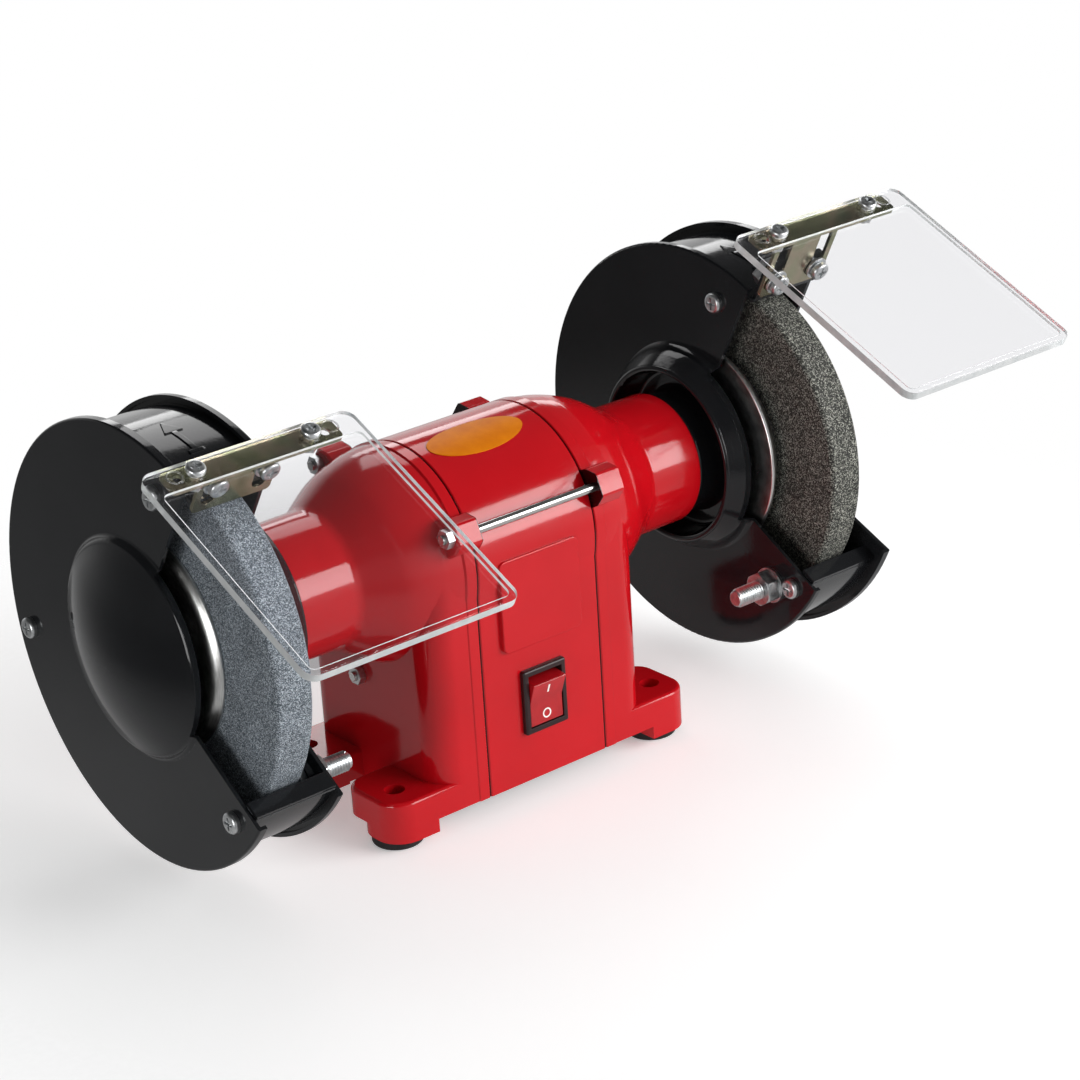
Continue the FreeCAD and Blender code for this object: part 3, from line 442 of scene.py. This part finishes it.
fine_grit = vitrified_grit(
    "fine_blue_grey_grit", grain_mm=0.3, dark="#3E464E", middle="#737C84", light="#C0C8CF", sparkle=0.97
)
coarse_grit = vitrified_grit(
    "coarse_dark_grit", grain_mm=0.42, dark="#141513", middle="#3B3C37", light="#A3A399", sparkle=0.98
)
finished("left_wheel", fine_grit, edge_mm=0.5)
finished("right_wheel", coarse_grit, edge_mm=0.5)

# Wheel flanges and spindle nuts: pressed and turned steel discs that grip each wheel on the arbor.
# Polished steel, so the rims mirror the dark guard on one side and the bright room on the other.

turned_steel, tree, shader, place = new_finish("turned_flange_steel", Metallic=1.0)
squeeze = add(tree, "Mapping", {"Scale": (1.0, 0.08, 0.08)}, {"Vector": place})
turning = add(
    tree, "TexNoise", {"Scale": per_metre(0.4), "Detail": 2.0}, {"Vector": squeeze.outputs["Vector"]}
)
tone = add(tree, "ValToRGB", links={"Fac": turning.outputs["Fac"]})
ramp_colours(tone, [(0.3, "#D6D6D4"), (0.7, "#F2F2F0")])
gloss = add(tree, "MapRange", {"To Min": 0.24, "To Max": 0.38}, {"Value": turning.outputs["Fac"]})
feed(tree, shader, Base_Color=tone.outputs["Color"], Roughness=gloss.outputs["Result"])
for side in SIDES:
    finished(side + "_inner_flange", turned_steel, edge_mm=0.3)
    finished(side + "_outer_flange", turned_steel, edge_mm=0.3)
    finished(side + "_spindle_nut", bright_zinc, edge_mm=0.5)

# Wheel guards: pressed sheet steel in gloss black enamel: an inner plate, a curved band and an outer cover.
# The plate has a drawn cup and a flared collar round the neck; the cover has a dome over the spindle nut.

for side in SIDES:
    for name in ("guard_plate", "guard_band", "guard_cover"):
        finished(side + "_" + name, black_enamel, edge_mm=0.3)

# Rotation arrow: a plain raised arrow pressed into the top of each band, under the same black enamel.
# It follows the curve of the band and stands half a millimetre proud.

ARROW_RISE = 0.0005
ARROW_TIP = 0.0035
ARROW_NECK = 0.0125
ARROW_TAIL = 0.0275
ARROW_HALF = 0.0040
SHAFT_HALF = 0.0011
BAR_HALF = 0.0033
BAR_THICK = 0.0016
ABOVE_BAND = 0.01


def joined(pieces, name):
    """Joins pieces into one with its origin at the frame's origin."""
    select_only(pieces[0])
    for piece in pieces:
        piece.select_set(True)
    bpy.ops.object.join()
    whole = bpy.context.view_layer.objects.active
    whole.name = name
    bpy.ops.object.transform_apply(location=True, rotation=True, scale=True)
    return whole


def flat_patch(crown, near, far, half, corners):
    """A flat triangle or rectangle above the band, reaching from near to far in front of its crown."""
    length = far - near
    bpy.ops.object.select_all(action="DESELECT")
    if corners == 3:
        radius = length / 1.5
        bpy.ops.mesh.primitive_circle_add(
            vertices=3, radius=radius, fill_type="NGON", location=crown - Vector((0, near + radius, 0))
        )
        reach = (2 * half / (3 ** 0.5 * radius), 1, 1)
    else:
        bpy.ops.mesh.primitive_plane_add(size=length, location=crown - Vector((0, near + length / 2, 0)))
        reach = (2 * half / length, 1, 1)
    bpy.ops.object.mode_set(mode="EDIT")
    bpy.ops.transform.resize(value=reach)
    bpy.ops.mesh.quads_convert_to_tris()
    bpy.ops.mesh.subdivide(number_cuts=7)
    bpy.ops.object.mode_set(mode="OBJECT")
    return bpy.context.view_layer.objects.active


for side in SIDES:
    low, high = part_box(side + "_guard_band")
    crown = Vector(((low.x + high.x) / 2, 0, high.z + ABOVE_BAND))
    patches = [
        flat_patch(crown, ARROW_TIP, ARROW_NECK, ARROW_HALF, corners=3),
        flat_patch(crown, ARROW_NECK, ARROW_TAIL, SHAFT_HALF, corners=4),
        flat_patch(crown, ARROW_TAIL - BAR_THICK, ARROW_TAIL, BAR_HALF, corners=4),
    ]
    arrow = joined(patches, side + "_band_arrow")
    apply_modifier(
        arrow, "SHRINKWRAP", target=bpy.data.objects[side + "_guard_band_finished"], wrap_method="PROJECT",
        use_project_z=True, use_negative_direction=True, use_positive_direction=False,
    )
    apply_modifier(arrow, "SOLIDIFY", thickness=2 * ARROW_RISE, offset=0.0)
    round_edges(arrow, edge_mm=0.15, segments=2)
    arrow.data.materials.append(black_enamel)
    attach(arrow, "housing")

# Guard screws: zinc plated pan heads with a cross recess, and nuts inside the guard.
# The recess is cut into each head; hub screws in the cup hold the plate on the neck.

RECESS_WIDTH = 0.0011
RECESS_DEPTH = 0.0012
RECESS_REACH = 0.6
GUARD_HEAD_RADIUS = 0.0043
END_DEPTH = 0.00005
AWAY = {"left": Vector((-1, 0, 0)), "right": Vector((1, 0, 0))}


def middle_of(points):
    return sum(points, Vector()) / len(points)


def end_centre(piece, direction):
    """The middle of the flat end that a piece turns towards a direction."""
    reach = [vertex.co.dot(direction) for vertex in piece.data.vertices]
    end = max(reach) - END_DEPTH
    return middle_of([vertex.co for vertex, far in zip(piece.data.vertices, reach) if far > end])


def recess_cross(piece, outward, head_radius):
    """Cuts a cross recess into the end of a screw that points outward."""
    centre = end_centre(piece, outward)
    turn = outward.to_track_quat("Z", "Y").to_euler()
    long_side = 2 * RECESS_REACH * head_radius
    blades = []
    for width, height in ((RECESS_WIDTH, long_side), (long_side, RECESS_WIDTH)):
        bpy.ops.object.select_all(action="DESELECT")
        bpy.ops.mesh.primitive_cube_add(size=1, location=centre, rotation=turn)
        blade = bpy.context.view_layer.objects.active
        blade.scale = (width, height, 2 * RECESS_DEPTH)
        blades.append(blade)
    for blade in blades:
        apply_modifier(piece, "BOOLEAN", object=blade, operation="DIFFERENCE")
        bpy.data.objects.remove(blade)


def loose_pieces(piece):
    """Splits a group of fasteners into single ones."""
    select_only(piece)
    bpy.ops.object.mode_set(mode="EDIT")
    bpy.ops.mesh.select_all(action="SELECT")
    bpy.ops.mesh.separate(type="LOOSE")
    bpy.ops.object.mode_set(mode="OBJECT")
    return list(bpy.context.selected_objects)


def group_stands_for(pieces, name):
    """Joins zinc plated fasteners into one piece that takes the place of their CAD node."""
    whole = joined(pieces, name + "_finished")
    smooth_faces(whole)
    stands_for(whole, name, bright_zinc)


for side in SIDES:
    away = AWAY[side]
    name = side + "_guard_screws"
    wheel_middle = middle_of(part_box(side + "_wheel"))
    group = welded_copy(name)
    round_edges(group, edge_mm=0.15)
    singles = loose_pieces(group)
    for single in singles:
        centre = middle_of([vertex.co for vertex in single.data.vertices])
        outward = away if (centre - wheel_middle).dot(away) > 0 else -away
        recess_cross(single, outward, GUARD_HEAD_RADIUS)
    group_stands_for(singles, name)
    finished(side + "_guard_nuts", bright_zinc, edge_mm=0.3)
    finished(side + "_hub_screws", bright_zinc, edge_mm=0.4)

# Tool-rest studs: threaded zinc plated studs through the guard plate, each with a washer and a nut.
# The thread is a triangular ridge wound on the core; its run ends just short of the rounded tip.

STUD_RADIUS = 0.004
STUD_HEAD_RADIUS = 0.0066
STUD_HEAD_THICK = 0.0032
STUD_SIDES = 64
THREAD_PITCH = 0.00125
THREAD_STEPS = 40
RIDGE_RADIUS = 0.56 * THREAD_PITCH
RUN_OUT = 0.0011


def turned_disc(foot, axis, radius, depth, edge_mm, sides):
    """A disc or shank that starts at its foot and runs along the axis, with rounded edges."""
    bpy.ops.object.select_all(action="DESELECT")
    bpy.ops.mesh.primitive_cylinder_add(
        vertices=sides, radius=radius, depth=depth, location=foot + axis * depth / 2,
        rotation=axis.to_track_quat("Z", "Y").to_euler(),
    )
    piece = bpy.context.view_layer.objects.active
    bpy.ops.object.transform_apply(location=True, rotation=True, scale=True)
    round_edges(piece, edge_mm)
    return piece


def thread_ridge(start, length):
    """A helical ridge of triangular section that runs from its start along X."""
    bpy.ops.object.select_all(action="DESELECT")
    bpy.ops.mesh.primitive_circle_add(
        vertices=3, radius=RIDGE_RADIUS, fill_type="NOTHING", rotation=(radians(90), 0, 0)
    )
    ridge = bpy.context.view_layer.objects.active
    bpy.ops.object.transform_apply(location=False, rotation=True, scale=True)
    bpy.ops.object.mode_set(mode="EDIT")
    bpy.ops.mesh.select_all(action="SELECT")
    bpy.ops.transform.translate(value=(0, 0, STUD_RADIUS - RIDGE_RADIUS))
    bpy.ops.object.mode_set(mode="OBJECT")
    apply_modifier(
        ridge, "SCREW", axis="X", angle=radians(360), screw_offset=THREAD_PITCH,
        iterations=round(length / THREAD_PITCH), steps=THREAD_STEPS, render_steps=THREAD_STEPS,
    )
    bpy.ops.object.mode_set(mode="EDIT")
    bpy.ops.mesh.select_all(action="SELECT")
    bpy.ops.mesh.fill_holes(sides=3)
    bpy.ops.mesh.select_all(action="SELECT")
    bpy.ops.mesh.normals_make_consistent(inside=False)
    bpy.ops.object.mode_set(mode="OBJECT")
    ridge.location = start
    select_only(ridge)
    bpy.ops.object.transform_apply(location=True, rotation=True, scale=True)
    return ridge


for side in SIDES:
    name = side + "_rest_stud"
    low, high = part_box(name)
    away = AWAY[side]
    tip, back = [Vector((x, (low.y + high.y) / 2, (low.z + high.z) / 2)) for x in (low.x, high.x)]
    if side == "left":
        tip, back = back, tip
    length = (back - tip).length - STUD_HEAD_THICK
    core_radius = STUD_RADIUS - 0.5 * THREAD_PITCH
    run = THREAD_PITCH * int((length - 2 * RUN_OUT) / THREAD_PITCH)
    start = tip + away * RUN_OUT
    core = turned_disc(tip, away, core_radius, length, edge_mm=0.6, sides=STUD_SIDES)
    head = turned_disc(back, -away, STUD_HEAD_RADIUS, STUD_HEAD_THICK, edge_mm=0.5, sides=STUD_SIDES)
    ridge = thread_ridge(start if side == "right" else start + away * run, run)
    group_stands_for([core, head, ridge], name)
    finished(side + "_rest_nut", bright_zinc, edge_mm=0.35)

# Shield brackets: folded strips of yellow passivated steel, clamped on the guard's tab by two screws.
# Thin passivation shifts from olive to straw and pink, over faint rolling lines.
# The clamp screws are zinc plated pan heads on washers, with their nuts behind the tab.

CLAMP_HEAD = 0.0040
CLAMP_RISE = 0.0033
CLAMP_WASHER = 0.0049
CLAMP_WASHER_THICK = 0.0012
CLAMP_SHANK = 0.0029
CLAMP_SIDES = 48
CLAMP_LEAST = 0.008
CLAMP_CAD_HEAD = 0.0052


def yellow_passivate():
    """Yellow passivated zinc: a metal with a thin drifting tint and fine lines from rolling."""
    made, tree, shader, place = new_finish("yellow_passivated_zinc", Metallic=1.0)
    film = add(tree, "TexNoise", {"Scale": per_metre(14.0), "Detail": 2.0}, {"Vector": place})
    tone = add(tree, "ValToRGB", links={"Fac": film.outputs["Fac"]})
    ramp_colours(tone, [(0.3, "#868A6A"), (0.48, "#A6A688"), (0.6, "#B4A690"), (0.75, "#94997C")])
    squeeze = add(tree, "Mapping", {"Scale": (0.05, 1.0, 1.0)}, {"Vector": place})
    lines = add(
        tree, "TexNoise", {"Scale": per_metre(0.4), "Detail": 3.0}, {"Vector": squeeze.outputs["Vector"]}
    )
    gloss = add(tree, "MapRange", {"To Min": 0.14, "To Max": 0.3}, {"Value": lines.outputs["Fac"]})
    relief = add(tree, "Bump", {"Strength": 0.05, "Distance": 0.0002}, {"Height": lines.outputs["Fac"]})
    feed(
        tree, shader, Base_Color=tone.outputs["Color"], Roughness=gloss.outputs["Result"],
        Normal=relief.outputs["Normal"],
    )
    return made


def span(piece, direction):
    """A piece's length along a direction."""
    reach = [vertex.co.dot(direction) for vertex in piece.data.vertices]
    return max(reach) - min(reach)


def pan_screw(solid, outward):
    """A pan head, washer and shank, on the axis and at the seat of the solid that they stand for."""
    end = end_centre(solid, -outward)
    length = span(solid, outward) - CLAMP_CAD_HEAD
    seat = end + outward * length
    under_head = seat + outward * CLAMP_WASHER_THICK
    shank = turned_disc(
        end, outward, CLAMP_SHANK, length + CLAMP_WASHER_THICK, edge_mm=0.4, sides=CLAMP_SIDES
    )
    washer = turned_disc(seat, outward, CLAMP_WASHER, CLAMP_WASHER_THICK, edge_mm=0.25, sides=CLAMP_SIDES)
    head = turned_disc(under_head, outward, CLAMP_HEAD, CLAMP_RISE, edge_mm=1.1, sides=CLAMP_SIDES)
    recess_cross(head, outward, CLAMP_HEAD)
    bpy.data.objects.remove(solid)
    return [shank, washer, head]


passivated_steel = yellow_passivate()
for side in SIDES:
    finished(side + "_shield_bracket", passivated_steel, edge_mm=0.25)
    name = side + "_clamp_screws"
    slide = next(joint for joint in frame["joints"] if joint["name"] == side + "_shield_slide")["axis"]
    outward = Vector((0, -slide[2], slide[1]))
    group = welded_copy(name)
    round_edges(group, edge_mm=0.3)
    pieces = []
    for single in loose_pieces(group):
        pieces += pan_screw(single, outward) if span(single, outward) > CLAMP_LEAST else [single]
    group_stands_for(pieces, name)

# Eye shields: clear acrylic mouldings with a thick edge at the bracket, a thinner window and a raised rim.
# Two cross-head screws hold each one, with a low moulded ring beside each screw.
# The faces are almost invisible, while the polished edges gather light; that pale glow is painted into the colour
# of the edge faces.

EDGE_SLOPE = 0.75
SHIELD_HEAD_RADIUS = 0.0037
SHIELD_SCREW_LEAST = 0.006
BOSS_OFFSET = 0.0086
BOSS_RADIUS = 0.0030
BOSS_BEAD = 0.00035
BOSS_FLATTEN = 0.7


def clear_acrylic():
    """Clear moulded acrylic: colourless, with a faint wave in the surface."""
    made, tree, shader, place = new_finish(
        "clear_acrylic_moulding", IOR=1.49, Transmission_Weight=1.0, Base_Color=linear("#FCFCFE")
    )
    wave = add(tree, "TexNoise", {"Scale": per_metre(35.0), "Detail": 1.0}, {"Vector": place})
    gloss = add(tree, "MapRange", {"To Min": 0.0, "To Max": 0.03}, {"Value": wave.outputs["Fac"]})
    relief = add(tree, "Bump", {"Strength": 0.02, "Distance": 0.0005}, {"Height": wave.outputs["Fac"]})
    feed(tree, shader, Roughness=gloss.outputs["Result"], Normal=relief.outputs["Normal"])
    return made


def painted_edge_glow():
    """Polished acrylic edge: a painted pale glow that stands in for the light that it gathers, with soft streaks.
    """
    made, tree, shader, place = new_finish("acrylic_edge_painted_glow", IOR=1.49, Transmission_Weight=0.35)
    streak = add(tree, "TexNoise", {"Scale": per_metre(5.0), "Detail": 2.0}, {"Vector": place})
    tone = add(tree, "ValToRGB", links={"Fac": streak.outputs["Fac"]})
    ramp_colours(tone, [(0.3, "#E2E6E7"), (0.7, "#F4F6F6")])
    gloss = add(tree, "MapRange", {"To Min": 0.08, "To Max": 0.25}, {"Value": streak.outputs["Fac"]})
    feed(tree, shader, Base_Color=tone.outputs["Color"], Roughness=gloss.outputs["Result"])
    return made


def ring_boss(centre, outward):
    """A low moulded ring that stands on the shield's seat."""
    bpy.ops.object.select_all(action="DESELECT")
    bpy.ops.mesh.primitive_torus_add(
        major_radius=BOSS_RADIUS, minor_radius=BOSS_BEAD, major_segments=40, minor_segments=10,
        location=centre, rotation=outward.to_track_quat("Z", "Y").to_euler(),
    )
    piece = bpy.context.view_layer.objects.active
    piece.scale.z = BOSS_FLATTEN
    bpy.ops.object.transform_apply(location=True, rotation=True, scale=True)
    bpy.ops.object.shade_smooth()
    return piece


acrylic = clear_acrylic()
edge_glow_acrylic = painted_edge_glow()
for side in SIDES:
    shield = finished(side + "_eye_shield", acrylic, edge_mm=0.5)
    shield.visible_shadow = False
    largest = max(shield.data.polygons, key=lambda face: face.area)
    outward = largest.normal.copy() if largest.normal.z > 0 else -largest.normal
    # Edge faces take the pale finish: a painted glow where the edges gather light.
    shield.data.materials.append(edge_glow_acrylic)
    for face in shield.data.polygons:
        face.material_index = 1 if abs(face.normal.dot(outward)) < EDGE_SLOPE else 0
    name = side + "_shield_screws"
    group = welded_copy(name)
    round_edges(group, edge_mm=0.15)
    singles = loose_pieces(group)
    top = max(vertex.co.dot(outward) for vertex in shield.data.vertices)
    shield_middle = middle_of(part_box(side + "_eye_shield"))
    screws = [single for single in singles if span(single, outward) > SHIELD_SCREW_LEAST]
    for number, screw in enumerate(screws):
        recess_cross(screw, outward, SHIELD_HEAD_RADIUS)
        centre = middle_of([vertex.co for vertex in screw.data.vertices])
        beside = Vector((BOSS_OFFSET if centre.x > shield_middle.x else -BOSS_OFFSET, 0, 0))
        boss = ring_boss(centre + outward * (top - centre.dot(outward)) + beside, outward)
        boss.name = side + "_shield_boss_" + str(number)
        boss.data.materials.append(acrylic)
        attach(boss, side + "_shield")
    group_stands_for(singles, name)

# Stage: white studio paper that fades into a white room, lit by a large soft box at the front right.
# A weaker box lifts the left end, a strip rims the back, and a small box glints on the left band.
# The room is brighter to the right and dark overhead, which shapes the gloss on the black guards.

PAPER_SIZE = 2.2
PAPER_NEAR = 0.17
PAPER_FAR = 0.42
PAPER_GLOW = 0.32
MIRROR_DIM = 0.5
floor_white, tree, shader, place = new_finish(
    "white_studio_paper", Specular_IOR_Level=0.0, Roughness=0.9,
    Emission_Color=linear("#FFFFFF"), Emission_Strength=PAPER_GLOW,
)
fibre = add(tree, "TexNoise", {"Scale": per_metre(3.0), "Detail": 3.0}, {"Vector": place})
tone = add(tree, "ValToRGB", links={"Fac": fibre.outputs["Fac"]})
ramp_colours(tone, [(0.3, "#F8F8F8"), (0.7, "#FBFBFB")])
feed(tree, shader, Base_Color=tone.outputs["Color"])
away = add(tree, "VectorMath", links={0: place}, operation="LENGTH")
fade = add(
    tree, "MapRange", {"From Min": PAPER_NEAR, "From Max": PAPER_FAR}, {"Value": away.outputs["Value"]},
    interpolation_type="SMOOTHSTEP",
)
air = add(tree, "BsdfTransparent")
shade = add(tree, "BsdfDiffuse", {"Color": linear("#272727")})
mirrored_ray = add(tree, "LightPath").outputs["Is Glossy Ray"]
dimmed = add(tree, "Math", {1: MIRROR_DIM}, {0: mirrored_ray}, operation="MULTIPLY")
sheet = add(
    tree, "MixShader",
    links={"Fac": dimmed.outputs["Value"], 1: shader.outputs["BSDF"], 2: shade.outputs["BSDF"]},
)
paper = add(
    tree, "MixShader",
    links={"Fac": fade.outputs["Result"], 1: sheet.outputs["Shader"], 2: air.outputs["BSDF"]},
)
tree.links.new(paper.outputs["Shader"], tree.nodes["Material Output"].inputs["Surface"])
bpy.ops.object.select_all(action="DESELECT")
bpy.ops.mesh.primitive_plane_add(size=PAPER_SIZE, location=(0, 0, 0))
floor = bpy.context.view_layer.objects.active
floor.name = "studio_floor"
floor.data.materials.append(floor_white)


def soft_box(name, target, direction, distance, width, height, power):
    """A rectangular lamp that stands off in a direction and faces its target."""
    lamp = bpy.data.lights.new(name, "AREA")
    lamp.shape = "RECTANGLE"
    lamp.size, lamp.size_y = width, height
    lamp.energy = power
    holder = bpy.data.objects.new(name, lamp)
    bpy.context.scene.collection.objects.link(holder)
    ray = Vector(direction).normalized()
    holder.location = target + ray * distance
    holder.rotation_euler = (-ray).to_track_quat("-Z", "Y").to_euler()


MIDDLE = Vector((0, 0, 0.09))
low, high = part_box("left_wheel")
BAND_CROWN = Vector(((low.x + high.x) / 2, -0.015, high.z))
soft_box("front_right_box", MIDDLE, (0.57, -0.76, 0.31), distance=1.7, width=1.3, height=0.85, power=24.0)
soft_box("left_box", MIDDLE, (-0.95, -0.27, 0.03), distance=1.9, width=0.8, height=0.8, power=11.0)
soft_box("rear_strip", MIDDLE, (0.60, 0.70, 0.36), distance=1.8, width=1.2, height=0.28, power=3.2)
soft_box("left_band_box", BAND_CROWN, (0.574, 0.58, 0.57), distance=0.5, width=0.24, height=0.2, power=0.38)

HORIZON = 0.05
world = bpy.data.worlds.new("studio")
bpy.context.scene.world = world
world.use_nodes = True
tree = world.node_tree
backdrop = tree.nodes["Background"]
backdrop.inputs["Color"].default_value = linear("#FFFFFF")
ray = add(tree, "LightPath")
direction = add(tree, "SeparateXYZ", links={"Vector": add(tree, "TexCoord").outputs["Generated"]})
ceiling = add(
    tree, "MapRange", {"From Min": 0.2, "From Max": 0.5, "To Min": 1.0, "To Max": 0.1},
    {"Value": direction.outputs["Z"]}, interpolation_type="SMOOTHSTEP",
)
walls = add(
    tree, "MapRange", {"From Min": -0.8, "From Max": 0.4, "To Min": 0.15, "To Max": 1.0},
    {"Value": direction.outputs["X"]}, interpolation_type="SMOOTHSTEP",
)
table = add(
    tree, "MapRange", {"From Min": -0.25, "From Max": 0.0, "To Min": 0.6, "To Max": 1.0},
    {"Value": direction.outputs["Z"]}, interpolation_type="SMOOTHSTEP",
)
overhead = add(
    tree, "MapRange", {"From Min": 0.3, "From Max": 0.9, "To Min": 0.9, "To Max": 0.4},
    {"Value": direction.outputs["Z"]},
)
indoors = add(
    tree, "Math", links={0: ceiling.outputs["Result"], 1: walls.outputs["Result"]}, operation="MULTIPLY"
)
mirrored = add(
    tree, "Math", links={0: indoors.outputs["Value"], 1: table.outputs["Result"]}, operation="MULTIPLY"
)
fill = add(
    tree, "Math", links={0: walls.outputs["Result"], 1: overhead.outputs["Result"]}, operation="MULTIPLY"
)
room = add(
    tree, "Mix", data_type="FLOAT",
    links={
        "Factor": ray.outputs["Is Glossy Ray"], "A": fill.outputs["Value"], "B": mirrored.outputs["Value"],
    },
)
downward = add(tree, "Math", {1: HORIZON}, {0: direction.outputs["Z"]}, operation="LESS_THAN")
through = add(
    tree, "Math", links={0: ray.outputs["Is Transmission Ray"], 1: downward.outputs["Value"]},
    operation="MULTIPLY",
)
seen = add(
    tree, "Math", links={0: ray.outputs["Is Camera Ray"], 1: through.outputs["Value"]}, operation="MAXIMUM"
)
strength = add(
    tree, "Mix", {"B": 1.0}, {"Factor": seen.outputs["Value"], "A": room.outputs["Result"]}, data_type="FLOAT"
)
tree.links.new(strength.outputs["Result"], backdrop.inputs["Strength"])

# Camera: the view of the product shot, from the front left and above, through a long lens.
# Its place and turn were solved from the rims of the guards, the wheels, the neck and the seams.

CAMERA_PLACE = (-0.70534, -0.93539, 0.58077)
CAMERA_TURN = (67.500, 3.370, -39.819)
CAMERA_LENS = 105.7
lens = bpy.data.cameras.new("product_camera")
lens.lens = CAMERA_LENS
lens.sensor_width = 36.0
lens.clip_start = 0.05
lens.clip_end = 50.0
camera = bpy.data.objects.new("product_camera", lens)
bpy.context.scene.collection.objects.link(camera)
camera.location = CAMERA_PLACE
camera.rotation_euler = Euler([radians(angle) for angle in CAMERA_TURN])
bpy.context.scene.camera = camera
bpy.context.scene.view_settings.view_transform = "Standard"
